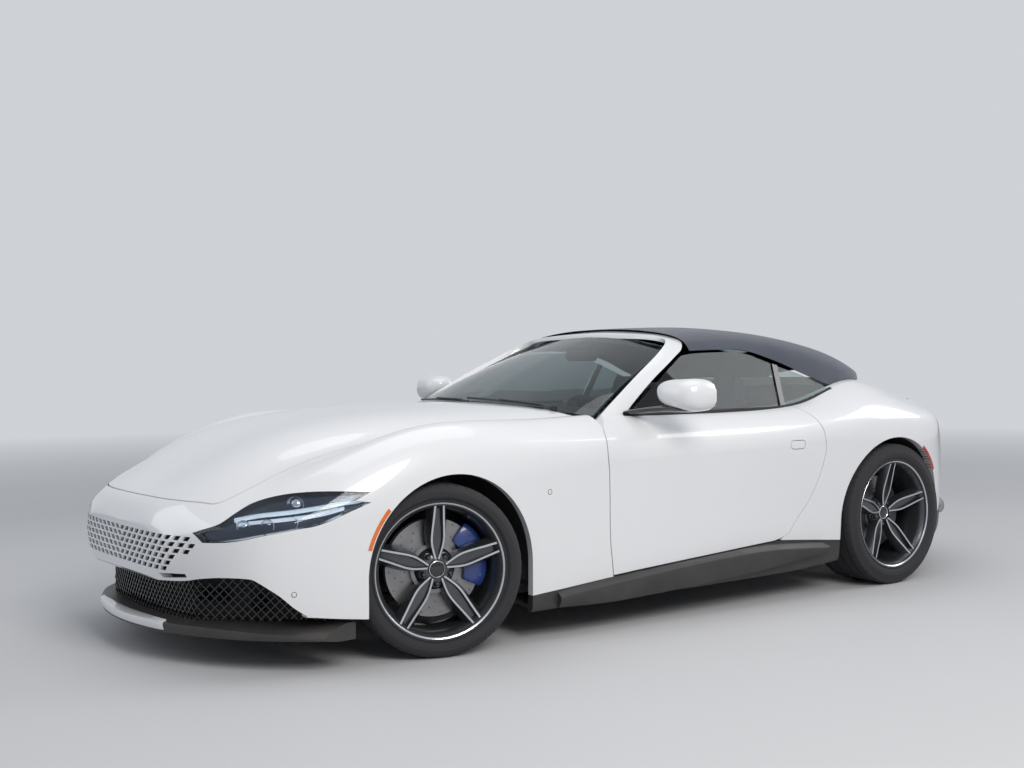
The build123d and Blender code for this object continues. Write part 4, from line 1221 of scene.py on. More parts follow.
def make_grille():
    """Body-coloured panel with rows of slanted openings, each row shifted by half a cell."""
    piece = grille_layer("grille_panel", 0, 0.010)
    for side in both_sides(lamp_block(1)):
        boolean(piece, side)
    cells = []
    for row in range(GRILLE_ROWS):
        z = 382 + row * GRILLE_PITCH[1]
        for column in range(-12, 13):
            x = column * GRILLE_PITCH[0] * 0.98 + (GRILLE_PITCH[0] / 2 if row % 2 else 0)
            limit = 430 + (z - 376) * 1.85 if z < 480 else 622 - (z - 480) * 1.2
            if abs(x) + GRILLE_CELL[0] / 2 > limit - 14:
                continue
            lean = 7 if x > 0 else -7
            w, h = GRILLE_CELL[0] / 2, GRILLE_CELL[1] / 2
            cell = [(x - w - lean, z - h), (x + w - lean, z - h), (x + w + lean, z + h),
                    (x - w + lean, z + h)]
            cells.append((cell, NOSE_AHEAD, NOSE_BEHIND))
    boolean(piece, many_blocks("cells", cells))
    smooth(piece, 30)
    true_normals(piece)
    ready(piece, "paint_white", paint(), replaces=("nose_grille",))
    # The near-black sheet just behind the openings is painted shade: it stands for the dark hollow of the
    # nose.
    ready(grille_layer("grille_shadow", 0.019, 0.024), "core_black", cavity())


def inside(outline, a, b):
    """True if a point lies in a closed outline."""
    hits = 0
    for (a0, b0), (a1, b1) in zip(outline, outline[1:] + outline[:1]):
        if (b0 > b) != (b1 > b) and a < a0 + (b - b0) * (a1 - a0) / (b1 - b0):
            hits += 1
    return hits % 2 == 1


MESH_PITCH = 30
MESH_WIRE = 4.5
MESH_LEAN = 0.85
MESH_ROW = 30  # height of one straight piece of wire
MESH_ROWS = 6
MESH_LOW = 165
MESH_MIDDLE = 240  # height at which wire k stands at k * MESH_PITCH
MESH_FRONT = -872
BOW_FLAT = 430  # half width of the gently curved middle of the bumper
MOUTH_LAMPS = ((470, 262, 27), (410, 262, 27), (600, 240, 30))  # x, z, radius


def bow(x):
    """How far the bumper lies behind its middle at a distance from the centre line."""
    return min(x, BOW_FLAT) ** 2 * 0.00022 + max(0, x - BOW_FLAT) * 0.80


def bowed(piece):
    """Bends what stands across the mouth back towards the corners of the bumper."""
    for v in piece.data.vertices:
        v.co.y += bow(abs(v.co.x * 1000)) / 1000
    return piece


def make_mesh_grille():
    """Black diamond mesh over the lower mouth, with round lamps and a shutter behind it."""
    wires = []
    opening = whole(grown(curve_through(MOUTH, MOUTH_CORNERS, closed=False), 14))
    for way in (1, -1):
        for k in range(-27, 28):
            x = k * MESH_PITCH
            for j in range(MESH_ROWS):
                z0, z1 = MESH_LOW + j * MESH_ROW, MESH_LOW + (j + 1) * MESH_ROW
                a, b = x + way * MESH_LEAN * (z0 - MESH_MIDDLE), x + way * MESH_LEAN * (z1 - MESH_MIDDLE)
                half = MESH_WIRE / 2
                if not inside(opening, (a + b) / 2, (z0 + z1) / 2):
                    continue
                front = MESH_FRONT if way > 0 else MESH_FRONT + 3
                wires.append(([(a - half, z0), (a + half, z0), (b + half, z1), (b - half, z1)],
                              front, front + 5))
    net = bowed(many_blocks("mouth_mesh", wires))
    ready(smooth(net, 30), "mesh_black", gloss_black(), replaces=("lower_grille",))
    back = block(whole([(0, 160), (720, 180), (700, 330), (0, 345)]), "s", -800, -794, "mouth_back")
    apply(back, "SUBSURF", levels=3, render_levels=3, subdivision_type="SIMPLE")
    ready(smooth(bowed(back), 30), "core_black", cavity())
    lamps = []
    for side in (1, -1):
        for x, z, radius in MOUTH_LAMPS:
            shell = turned("lamp", [(0, radius - 7), (0, radius), (16, radius), (40, radius - 6), (40, 0),
                                    (6, 0), (10, radius - 9)], 40)
            lamps.append(moved(shell, place(side * x, MESH_FRONT + 34 + bow(x), z), 90))
    ready(smooth(joined("mouth_lamps", *lamps), 40), "lamp_glass", lamp_blue())


SPLITTER = ((0, -972, -700, 164, 170), (150, -963, -700, 164, 170), (300, -938, -690, 163, 172),
            (450, -882, -640, 162, 176), (600, -806, -560, 160, 178), (730, -706, -470, 152, 180),
            (830, -602, -400, 146, 182), (893, -520, -355, 140, 184))


def make_splitter():
    """Black blade under the bumper; its middle carries a body-coloured lip."""
    sections = []
    for x, lead, rear, edge, top in [(-row[0],) + row[1:] for row in reversed(SPLITTER[1:])] + list(SPLITTER):
        sections.append([(x, lead, edge - 12), (x, lead + 3, edge), (x, lead + 30, (edge + top) / 2),
                         (x, lead + 90, top), (x, rear, top), (x, rear, 120), (x, lead + 60, 118),
                         (x, lead + 8, 124)])
    blade = loft("splitter_blade", stations(sections, 5))
    boolean(blade, well_front())
    boolean(blade, flipped(well_front()))
    smooth(blade, 35)
    ready(blade, "black_trim", black_trim(), replaces=("splitter",))
    lip_rows = []
    for x, s in ((-340, -924), (-300, -938), (-150, -963), (0, -972), (150, -963), (300, -938), (340, -924)):
        t = 1 - min(1, abs(x) / 340) ** 4 * 0.6
        lip_rows.append([(x, s - 4, 150), (x, s - 2, 165), (x, s + 30 * t, 173), (x, s + 38 * t, 171),
                         (x, s + 6, 150), (x, s + 10, 134), (x, s + 3, 133)])
    lip = smooth(loft("splitter_lip", stations(lip_rows, 5)), 35)
    ready(lip, "paint_white", paint())


LIGHT_BAR_TOP = ((707, -788, 574), (768, -717, 591), (831, -627, 602), (878, -528, 616), (905, -439, 630),
                 (924, -351, 636))
LIGHT_BAR_LOW = ((719, -786, 560), (784, -717, 570), (842, -632, 580), (885, -532, 592), (909, -441, 612))
LENS_THICK, BOWL_FRONT, BOWL_BACK = 0.003, 0.022, 0.060  # metres inwards and rearwards of the body's face
LAMP_OPTICS = ((824, -602, 627, 24), (755, -779, 552, 17), (816, -712, 556, 17), (854, -635, 564, 17))


def make_headlamps():
    outer = panel("lens", [lamp_block(0)], [bonnet_hole(), well_front()], hollow=False)
    inner = moved(copy_of(Skin.outer, "inner"), (-LENS_THICK, LENS_THICK, 0))
    lens = boolean(copy_of(outer, "headlamp_lens_left"), inner)
    discard(outer)
    bowl = panel("bowl", [lamp_block(0)], [bonnet_hole(), well_front()], hollow=False)
    for depth, operation in ((BOWL_FRONT, "INTERSECT"), (BOWL_BACK, "DIFFERENCE")):
        boolean(bowl, moved(copy_of(Skin.outer, "face"), (-depth, depth, 0)), operation)
    smooth(bowl, 30)
    pair(smooth(lens, 40), "lamp_glass", [lens_glass()], ("headlamps",), "headlamp_lenses")
    pair(bowl, "black_trim", [lamp_blue()], name="headlamp_housings")
    bars = []
    for line in (LIGHT_BAR_TOP, LIGHT_BAR_LOW):
        rows = [[(x - 34, s + 12, z - 8), (x - 14, s + 5, z - 7),
                 (x - 12, s + 4, z + 5), (x - 34, s + 12, z + 7)]
                for x, s, z in line]
        bars.append(loft("bar", stations(rows, 5)))
    pair(smooth(joined("light_bar_left", *bars), 40), "lamp_glass", [lamp_white()], name="light_bars")
    optics = []
    for x, s, z, radius in LAMP_OPTICS:
        bpy.ops.mesh.primitive_uv_sphere_add(segments=32, ring_count=16, radius=radius / 1000,
                                             location=place(x - 38, s + 28, z))
        optics.append(settle(bpy.context.object))
        cup = turned("cup", [(0, radius + 1), (0, radius + 7), (14, radius + 9), (14, radius + 6)], 40)
        optics.append(moved(cup, place(x - 36, s + 24, z), -45))
    pair(smooth(joined("lamp_optics_left", *optics), 40), "lamp_glass", [chrome()],
         name="headlamp_optics")


# ------------------------------------------------------------------ glass, frame and top
SCREEN_BASE = ((0, 740), (350, 765), (600, 825), (742, 892))
SCREEN_HEAD = ((0, 1500), (250, 1506), (420, 1520), (552, 1530))
SCREEN_BULGE = 16
FRIT_LIFT = 6.5


def screen_foot_z(s):
    return 935 - 0.2065 * (s - SCREEN_BASE[0][1])


def screen_head_z(x, s):
    return 1262 - 0.35 * (s - SCREEN_HEAD[0][1]) - (x / SCREEN_HEAD[-1][0]) ** 2 * 50


def screen_points(lift=0.0, rows=12):
    """Grid over the windscreen from its foot to its head, bulged a little outwards."""
    base = curve_through(SCREEN_BASE, per=5, closed=False)
    head = curve_through(SCREEN_HEAD, per=5, closed=False)
    grid = []
    for r in range(rows + 1):
        t = r / rows
        line = []
        for (xb, sb), (xh, sh) in zip(base, head):
            zb, zh = screen_foot_z(sb), screen_head_z(xh, sh)
            x, s, z = xb + (xh - xb) * t, sb + (sh - sb) * t, zb + (zh - zb) * t
            bulge = SCREEN_BULGE * 4 * t * (1 - t)
            line.append((x, s - bulge * 0.45 + lift * 0.45, z + bulge * 0.9 - lift * 0.9))
        grid.append([(-x, s, z) for x, s, z in reversed(line[1:])] + line)
    return grid


def make_windscreen():
    grid = screen_points()
    glass = loft("windscreen_pane", grid, closed=False)
    across = len(grid[0]) - 1
    rows = len(grid) - 1
    apply(glass, "SOLIDIFY", thickness=0.005, offset=-1)
    outwards(glass)
    smooth(glass, 40)
    ready(glass, "clear_glass", window_glass(), replaces=("windscreen_glass",))
    frit = loft("frit", screen_points(lift=FRIT_LIFT), closed=False)
    choose(frit)
    bpy.ops.object.mode_set(mode="EDIT")
    bpy.ops.mesh.select_all(action="DESELECT")
    bpy.ops.object.mode_set(mode="OBJECT")
    for face in frit.data.polygons:
        r, c = divmod(face.index, across)
        face.select = 1 <= r < rows - 1 and 1 <= c < across - 1
    bpy.ops.object.mode_set(mode="EDIT")
    bpy.ops.mesh.delete(type="FACE")
    bpy.ops.object.mode_set(mode="OBJECT")
    frit.name = "windscreen_black_band"
    apply(frit, "SOLIDIFY", thickness=0.0012, offset=-1)
    outwards(frit)
    ready(smooth(frit, 40), "black_trim", gloss_black())


# Pillar and header as one frame: outer front, outer rear, inner rear and inner front corner (x, s, z)
FRAME_PATH = (
    ((779, 880, 880), (776, 1040, 880), (728, 1040, 880), (745, 892, 880)),
    ((752, 968, 938), (757, 1090, 926), (712, 1100, 926), (722, 980, 932)),
    ((694, 1175, 1062), (716, 1262, 1045), (676, 1280, 1040), (668, 1190, 1052)),
    ((620, 1395, 1178), (668, 1446, 1150), (630, 1470, 1142), (598, 1412, 1164)),
    ((556, 1500, 1236), (622, 1546, 1204), (592, 1572, 1190), (545, 1512, 1214)),
    ((470, 1516, 1256), (540, 1588, 1246), (530, 1592, 1224), (462, 1510, 1236)),
    ((320, 1508, 1268), (350, 1590, 1276), (345, 1592, 1252), (315, 1500, 1246)),
    ((0, 1500, 1274), (0, 1590, 1292), (0, 1592, 1268), (0, 1490, 1252)),
)


def make_screen_frame():
    half = [list(section) for section in FRAME_PATH]
    other = [[(-x, s, z) for x, s, z in section] for section in half]
    path = other[:-1] + list(reversed(half))
    frame_piece = loft("screen_frame", stations(path, 8))
    bevelled(frame_piece, 0.006)
    smooth(frame_piece, 40)
    ready(frame_piece, "paint_white", paint(), replaces=("windscreen_frame",))


# Fabric top: s, then half section (x, z) from its lower edge to the centre line
TOP = (
    (1576, 640, 1186, 592, 1232, 478, 1266, 250, 1290, 0, 1296),
    (1740, 640, 1190, 590, 1240, 474, 1278, 250, 1299, 0, 1304),
    (1940, 636, 1186, 590, 1241, 470, 1279, 250, 1301, 0, 1307),
    (2150, 652, 1132, 602, 1216, 470, 1265, 250, 1290, 0, 1299),
    (2340, 680, 1062, 617, 1178, 472, 1242, 250, 1272, 0, 1284),
    (2530, 686, 1002, 632, 1132, 480, 1208, 250, 1248, 0, 1262),
    (2700, 654, 1012, 624, 1090, 487, 1168, 250, 1217, 0, 1234),
    (2850, 588, 1022, 567, 1070, 462, 1126, 250, 1180, 0, 1202),
    (2990, 472, 1020, 457, 1062, 387, 1090, 230, 1132, 0, 1157),
    (3100, 302, 1020, 292, 1054, 252, 1074, 150, 1094, 0, 1108),
)
TOP_FABRIC_T = 4
TOP_MIDDLE_Z = 0.7  # the fabric's inner face looks towards a line at this height, in metres
REAR_WINDOW = ((0, 2612), (270, 2620), (325, 2665), (315, 2830), (262, 2866), (0, 2872))


def top_rows():
    rows = []
    for row in TOP:
        half = [(row[i], row[0], row[i + 1]) for i in range(1, 11, 2)]
        rows.append(half + [(-x, s, z) for x, s, z in reversed(half[:-1])])
    return rows


def make_top():
    rows = [curve_through(row, per=8, closed=False) for row in stations(top_rows(), 8)]
    # the last stretch hangs down to the deck
    tail = [(x * 0.985, s + 14, z - 34) for x, s, z in rows[-1]]
    cloth = loft("fabric_top", rows + [tail], closed=False)
    window = block(whole_through(REAR_WINDOW, (0, 5)), "z", 900, 1400)
    thick = copy_of(cloth, "thick")
    apply(thick, "SOLIDIFY", thickness=0.010, offset=0)
    outwards(thick)
    pane = boolean(copy_of(thick, "rear_window_pane"), copy_of(window, "w"), "INTERSECT", solver="EXACT")
    discard(thick)
    apply(cloth, "SOLIDIFY", thickness=TOP_FABRIC_T / 1000, offset=0)
    outwards(cloth)
    boolean(cloth, window, solver="EXACT")
    smooth(cloth, 40)
    # Faces that look inwards take the near-black lining, which also paints the shade under the top.
    inward = []
    for face in cloth.data.polygons:
        outside = face.center - Vector((0, face.center.y, TOP_MIDDLE_Z))
        inward.append(1 if face.normal.dot(outside) < 0 else 0)
    cloth.data.polygons.foreach_set("material_index", inward)
    ready(cloth, "fabric_top", top_cloth(), headlining(), replaces=("soft_top",))
    ready(smooth(pane, 40), "clear_glass", window_glass(), replaces=("rear_glass",))


GLASS_LEAN = 0.48
DOOR_GLASS = ((1060, 880), (1072, 908), (1512, 1162), (1590, 1172), (1750, 1178), (1930, 1172), (2100, 1120),
              (2050, 912), (2034, 880))
QUARTER_GLASS = ((2078, 880), (2134, 1108), (2330, 1044), (2470, 982), (2480, 880))


def leaning_x(z):
    return 772 - GLASS_LEAN * (z - 905)


def leaning_pane(name, outline, corners, thick=5.0, out=0.0):
    points = curve_through(outline, corners, per=5)
    outer = [(leaning_x(z) + out, s, z) for s, z in points]
    inner = [(x - thick * 0.9, s, z - thick * 0.43) for x, s, z in outer]
    return loft(name, [outer, inner])


def make_side_glass():
    left = leaning_pane("door_pane_left", DOOR_GLASS, (0, 1, 2, 6, 7, 8))
    ready(smooth(left, 40), "clear_glass", window_glass(), body="front_door_left",
          replaces=("door_glass_left",))
    right = mirror_of(left, "door_pane_right")
    ready(right, "clear_glass", window_glass(), body="front_door_right", replaces=("door_glass_right",))
    quarter = leaning_pane("quarter_panes_left", QUARTER_GLASS, (0, 1, 3, 4))
    pair(smooth(quarter, 40), "clear_glass", [window_glass()], ("quarter_glass",), "quarter_panes")
    divider = leaning_pane("divider", ((2056, 880), (2110, 1118), (2142, 1110), (2088, 880)), (0, 1, 2, 3),
                           14, 2)
    pair(smooth(divider, 40), "black_trim", [gloss_black()], name="quarter_glass_posts")


# ------------------------------------------------------------------ wheels
# Spoke sections: distance from the hub, half width of the bright edge line, face height,
# flank width, flank depth, channel depth
SPOKE = (
    (40, 6, 60, 3, 22, 5), (62, 13, 62, 8, 26, 8), (95, 22, 66, 13, 30, 11), (125, 25, 71, 16, 32, 14),
    (160, 23.5, 77, 19, 33, 17), (200, 20.5, 84, 22, 34, 21), (240, 18, 91, 26, 34, 26),
    (262, 16.5, 96, 30, 30, 30),
)
SPOKES = 5
SPOKE_STEP = 360 / SPOKES
EDGE_W = 3.8
BOLT_CIRCLE = 0.057


def spoke(width):
    """Twin spoke: two bright edges with a dark channel between them and sloping flanks outside."""
    drop = width / 2 - 98.5
    rows = []
    for r, half, face, flank, deep, channel in SPOKE:
        x = face + drop * (r / 262)
        back = x - deep - 12
        side = [(half + flank, x - deep), (half + EDGE_W, x - 0.5), (half - EDGE_W, x),
                (half - EDGE_W - 5, x - channel)]
        ring = side + [(-t, h) for t, h in reversed(side)]
        ring += [(-(half + flank), back), (half + flank, back)]
        rows.append([(h, t, r) for t, h in ring])
    fine = stations(rows, 4)
    count = len(fine[0])
    points = [(x / 1000, t / 1000, r / 1000) for row in fine for x, t, r in row]
    piece = mesh_piece("spoke", points, net_faces(len(fine), count))
    for face in piece.data.polygons[:-2]:
        if face.index % count in (1, 5):
            face.material_index = 1
    return piece


def all_faces(piece, number):
    """Gives every face one of the piece's materials."""
    piece.data.polygons.foreach_set("material_index", [number] * len(piece.data.polygons))
    return piece


def wheel_face(width, disc_r):
    """Alloy wheel on the x axis, outboard towards +x, with its hub, cap, bolts, valve and disc."""
    w = width / 2
    barrel = [(-w, 254), (-w, 268), (-w - 7, 268), (-w - 7, 246), (-w + 30, 240), (-40, 232), (20, 234),
              (w - 34, 240), (w - 16, 246), (w - 6, 254), (w + 2, 260), (w + 5, 266), (w + 2, 269),
              (w - 4, 268), (w - 4, 254), (w - 20, 252), (0, 244)]
    parts = [turned("barrel", barrel, 120, ((10, 1), (11, 1)))]
    one = spoke(width)
    for k in range(SPOKES):
        twin = copy_of(one, "spoke")
        twin.data.transform(Matrix.Rotation(math.radians(SPOKE_STEP * k), 4, "X"))
        parts.append(twin)
    discard(one)
    parts.append(turned("hub", [(-38, 0), (-38, 80), (10, 84), (34, 74), (46, 60), (54, 48), (54, 36),
                                (48, 33), (48, 0)], 80))
    for k in range(SPOKES):
        a = math.radians(SPOKE_STEP * (k + 0.5))
        for name, profile, steps in (("bolt", [(30, 0), (30, 11), (48, 11), (56, 9), (60, 6), (61, 0)], 20),
                                     ("seat", [(36, 12), (36, 17), (47, 17), (48, 15), (47, 13)], 24)):
            parts.append(moved(turned(name, profile, steps),
                               (0, math.sin(a) * BOLT_CIRCLE, math.cos(a) * BOLT_CIRCLE)))
    parts.append(all_faces(turned("cap", [(46, 0), (46, 30), (57, 30), (60, 27), (61, 20), (61.5, 0)], 64),
                           2))
    parts.append(all_faces(turned("cap_ring", [(50, 30), (50, 34), (60, 34), (62, 31), (60, 29)], 64), 1))
    parts.append(all_faces(turned("bell", [(-34, 84), (-34, 99), (22, 99), (22, 84)], 80), 3))
    parts.append(brake_disc(disc_r))
    valve = turned("valve", [(-3, 0), (-3, 4), (20, 3.4), (26, 3.4), (27, 0)], 12)
    parts.append(moved(valve, ((w - 30) / 1000, 0.247 * math.sin(0.5), 0.240 * math.cos(0.5)), 20, "Y"))
    for part in parts:
        dressed(part, alloy_dark(), alloy_bright(), gloss_black(), disc_metal())
    return smooth(joined("wheel", *parts), 35)


def brake_disc(radius):
    """Vented disc drilled with spiral rows of holes."""
    disc = turned("disc", [(-34, 98), (-34, radius), (-22, radius), (-22, radius - 6), (-12, radius - 6),
                           (-12, radius), (0, radius), (0, 98)], 96)
    holes = []
    for k in range(15):
        for j, r in enumerate((116, 138, 160, 182)):
            if r > radius - 8:
                continue
            a = math.radians(24 * k + j * 9)
            bpy.ops.mesh.primitive_cylinder_add(vertices=10, radius=0.0035, depth=0.012,
                                                location=(0, math.sin(a) * r / 1000, math.cos(a) * r / 1000),
                                                rotation=(0, math.radians(90), 0))
            holes.append(settle(bpy.context.object))
    return all_faces(boolean(disc, joined("holes", *holes)), 3)


def tyre_shape(width, radius, rim_width):
    """Tyre with tread grooves, side rings and a rim guard; tread_cuts adds its shoulder blocks."""
    w, t, r = rim_width / 2 - 0.6, width / 2, radius
    half = [(w, 254.6), (w + 1, 262), (w + 6, 268), (w + 9, 274), (w + 6, 278), (t - 4, 286), (t - 3, 288),
            (t, 300), (t - 0.5, 306), (t, 308), (t - 2, 316), (t - 6, 324), (t - 12, r - 8), (t - 20, r - 3),
            (t - 34, r - 0.8)]
    for groove in (0.62, 0.24):
        g = groove * t
        half += [(g + 5, r - 0.2), (g + 4.2, r - 6.5), (g - 4.2, r - 6.5), (g - 5, r - 0.1)]
    profile = half + [(-x, y) for x, y in reversed(half)]
    profile += [(-w + 4, 256.5), (w - 4, 256.5)]
    tyre = turned("tyre", profile, 144)
    return smooth(tyre, 28)


def tread_cuts(tyre, width, radius):
    cuts = []
    t = width / 2
    count = 54
    for k in range(count):
        a = 2 * math.pi * k / count
        for side in (1, -1):
            bpy.ops.mesh.primitive_cube_add(size=1, location=(side * (t - 22) / 1000, 0, radius / 1000))
            cut = bpy.context.object
            cut.scale = (0.046, 0.0035, 0.011)
            cut.rotation_euler = (0, side * math.radians(18), side * math.radians(12))
            settle(cut)
            cut.data.transform(Matrix.Rotation(a + (0.03 if side > 0 else 0), 4, "X"))
            cuts.append(cut)
    boolean(tyre, joined("cuts", *cuts))
    return smooth(tyre, 28)


def caliper_shape(disc_r, rise):
    """Six-piston caliper over the disc, with a bridge window and cross bolts."""
    span = math.radians(38)
    rows = []
    steps = 14
    for k in range(steps + 1):
        a = -span + 2 * span * k / steps
        edge = 1 - abs(2 * k / steps - 1) ** 5
        outer, inner = 214 + 8 * edge, 132 - 6 * edge
        face = 14 + 8 * edge
        rows.append([(face - 4, a, inner), (face, a, inner + 14), (face, a, outer - 20), (face - 8, a, outer),
                     (-58, a, outer), (-66, a, outer - 16), (-66, a, inner)])
    points = [(x / 1000, r * math.cos(a) / 1000, r * math.sin(a) / 1000) for row in rows for x, a, r in row]
    body = mesh_piece("caliper", points, net_faces(len(rows), len(rows[0])))
    slot = turned("slot", [(-40, 60), (-40, disc_r + 8), (6, disc_r + 8), (6, 60)], 96)
    boolean(body, slot, solver="EXACT")
    bevelled(body, 0.003, 2)
    for a in (-0.45, -0.15, 0.15, 0.45):
        bolt = turned("bolt", [(8, 0), (8, 8), (23, 8), (24, 5), (24, 0)], 16)
        moved(bolt, (0, 0.196 * math.cos(a), 0.196 * math.sin(a)))
        body = joined("caliper", body, bolt)
    body.data.transform(Matrix.Rotation(math.radians(rise), 4, "X"))
    return smooth(body, 35)


def put_wheel(piece, spec, side, name):
    """A copy of a wheel's part at its place on one side; the right front wheel has its own s."""
    twin = copy_of(piece, name) if side > 0 else mirror_of(piece, name)
    s = spec["s"] if side > 0 else spec.get("s_right", spec["s"])
    return moved(twin, place(side * spec["x"], s, spec["z"]), spec["turn"])


def make_wheels():
    for end, spec, radius, width in (("front", WHEEL_F, FRONT_WHEEL_R, 245),
                                     ("rear", WHEEL_R, REAR_WHEEL_R, 285)):
        alloy = wheel_face(spec["width"], spec["disc"])
        tyre = tread_cuts(tyre_shape(width, radius, spec["width"]), width, radius)
        clamp = caliper_shape(spec["disc"], spec["rise"])
        for side, word in ((1, "left"), (-1, "right")):
            body = f"wheel_{end}_{word}"
            looks = (alloy_dark(), alloy_bright(), gloss_black(), disc_metal())
            piece = put_wheel(alloy, spec, side, f"alloy_{end}_{word}")
            ready(piece, "grey_alloy", *looks, body=body, replaces=(f"rim_{end}_{word}",))
            rubber_piece = put_wheel(tyre, spec, side, f"tread_{end}_{word}")
            ready(rubber_piece, "tyre_rubber", tyre_look(), body=body, replaces=(f"tyre_{end}_{word}",))
            if end == "front":
                grip = put_wheel(clamp, spec, side, f"brake_caliper_front_{word}")
                ready(grip, "caliper_blue", caliper_paint(), body=f"steering_knuckle_{word}",
                      replaces=(f"caliper_front_{word}",))
        if end == "rear":
            pieces = [put_wheel(clamp, spec, side, "clamp") for side in (1, -1)]
            ready(joined("brake_calipers_rear", *pieces), "caliper_blue", caliper_paint(),
                  replaces=("rear_calipers",))
        discard(alloy, tyre, clamp)


# ------------------------------------------------------------------ mirrors and small parts
MIRROR = (  # x, middle (s, z), half length, half height
    (868, 1206, 1008, 14, 10), (880, 1200, 1007, 50, 32), (926, 1204, 1001, 88, 57),
    (1000, 1214, 996, 100, 68), (1062, 1224, 993, 98, 71), (1100, 1236, 991, 80, 58),
    (1118, 1246, 990, 44, 32),
)
MIRROR_ARM = (
    (766, 1085, 912, 38, 13), (820, 1104, 921, 36, 12), (876, 1142, 929, 44, 14), (940, 1190, 934, 62, 17),
    (1010, 1216, 935, 70, 18), (1052, 1230, 936, 54, 14), (1070, 1238, 938, 26, 8),
)
MIRROR_REAR = (1250, 0.12, 880)  # s of the glass plane, its slope with x and where that starts


def ring(x, s, z, long, high, count=24, power=0.8):
    """Rounded section across the x axis."""
    points = []
    for k in range(count):
        a = 2 * math.pi * k / count
        c, w = math.cos(a), math.sin(a)
        points.append((x, s + long * math.copysign(abs(c) ** power, c),
                       z + high * math.copysign(abs(w) ** power, w)))
    return points


def rear_plane(x):
    return MIRROR_REAR[0] + MIRROR_REAR[1] * (x - MIRROR_REAR[2])


def make_mirrors():
    rows = stations([ring(*row) for row in MIRROR], 5)
    rows = [[(x, min(s, rear_plane(x)), z) for x, s, z in row] for row in rows]
    head = smooth(loft("mirror_cap_left", rows), 45)
    arm = smooth(loft("mirror_arm_left", stations([ring(*row, 16, 0.9) for row in MIRROR_ARM], 4)), 45)
    outline = [(994 + 102 * c, 994 + 52 * w) for _, c, w in ring(0, 0, 0, 1, 1, 40, 0.7)]
    pane = loft("mirror_glass_left", [[(x, rear_plane(x) + out, z) for x, z in outline] for out in (-2, 2.5)])
    for piece, slot, look, nodes in ((head, "paint_white", paint, "mirror_{}"),
                                     (arm, "black_trim", gloss_black, ""), (pane, "lamp_glass", chrome, "")):
        twin = mirror_of(piece, piece.name.replace("left", "right"))
        for item, word in ((piece, "left"), (twin, "right")):
            ready(item, slot, look(), body=f"front_door_{word}",
                  replaces=(nodes.format(word),) if nodes else ())


def along(table, x):
    """The second value of a table of pairs at a place between its rows."""
    for (a, p), (b, q) in zip(table, table[1:]):
        if x <= b:
            return p + (q - p) * (x - a) / (b - a)
    return table[-1][1]


def on_screen(x, t, lift):
    """A place on the windscreen, t of the way up from its foot."""
    base, head_x = along(SCREEN_BASE, abs(x)), x * SCREEN_HEAD[-1][0] / SCREEN_BASE[-1][0]
    head = along(SCREEN_HEAD, abs(head_x))
    low, high = screen_foot_z(base), screen_head_z(head_x, head)
    bulge = SCREEN_BULGE * 4 * t * (1 - t)
    return (x + (head_x - x) * t, base + (head - base) * t - bulge * 0.45 - lift * 0.45,
            low + (high - low) * t + bulge * 0.9 + lift * 0.9)


def strip(name, path, wide, high):
    """Bar with a rounded top along a path of (x, s, z)."""
    rows = []
    for x, s, z in path:
        rows.append([(x, s - wide / 2, z), (x, s - wide / 2, z + high * 0.6), (x, s - wide / 4, z + high),
                     (x, s + wide / 4, z + high), (x, s + wide / 2, z + high * 0.6), (x, s + wide / 2, z)])
    return loft(name, rows)


WIPERS = (((560, 0.012), (490, 0.030), (-70, 0.062)), ((-30, 0.012), (-70, 0.030), (-600, 0.050)))


def make_wipers():
    parts = []
    for pivot, near, far in WIPERS:
        steps = [(near[0] + (far[0] - near[0]) * k / 10, near[1] + (far[1] - near[1]) * k / 10)
                 for k in range(11)]
        parts.append(strip("blade", [on_screen(x, t, 8) for x, t in steps], 7, 9))
        middle = steps[5]
        parts.append(strip("arm", [on_screen(*pivot, 6), on_screen(near[0], near[1] - 0.012, 22),
                                   on_screen(middle[0], middle[1], 18)], 14, 7))
        bpy.ops.mesh.primitive_cylinder_add(vertices=24, radius=0.016, depth=0.02,
                                            location=place(*on_screen(*pivot, 12)))
        parts.append(settle(bpy.context.object))
    ready(smooth(joined("wipers", *parts), 40), "black_trim", black_trim())


def arc_block(name, middle, low_r, high_r, start, end, low, high):
    """Block across the car over a slice of a ring."""
    turn = [math.radians(start + (end - start) * k / 12) for k in range(13)]
    outline = [(middle[0] + high_r * math.cos(a), middle[1] + high_r * math.sin(a)) for a in turn]
    outline += [(middle[0] + low_r * math.cos(a), middle[1] + low_r * math.sin(a)) for a in reversed(turn)]
    return block(outline, "x", low, high, name)


BELT = ((1040, 899), (1300, 903), (1675, 904), (1900, 904), (2043, 906), (2120, 912), (2194, 921),
        (2330, 950), (2470, 988))
BELT_SPLIT = 2082
MARKER_OUT = 0.0014  # metres by which the side reflectors stand out of the panels
BUTTONS = ((500, 612, 9), (-627, 306, 8))  # s, z, radius of the round caps on the side


def belt_strip(name, path):
    fine = curve_through(path, closed=False, per=5)
    return loft(name, [[(leaning_x(z) - 8, s, z - 8), (leaning_x(z) + 13, s, z - 8),
                        (leaning_x(z) + 11, s, z + 3), (leaning_x(z) + 2, s, z + 7),
                        (leaning_x(z) - 8, s, z + 6)] for s, z in fine])


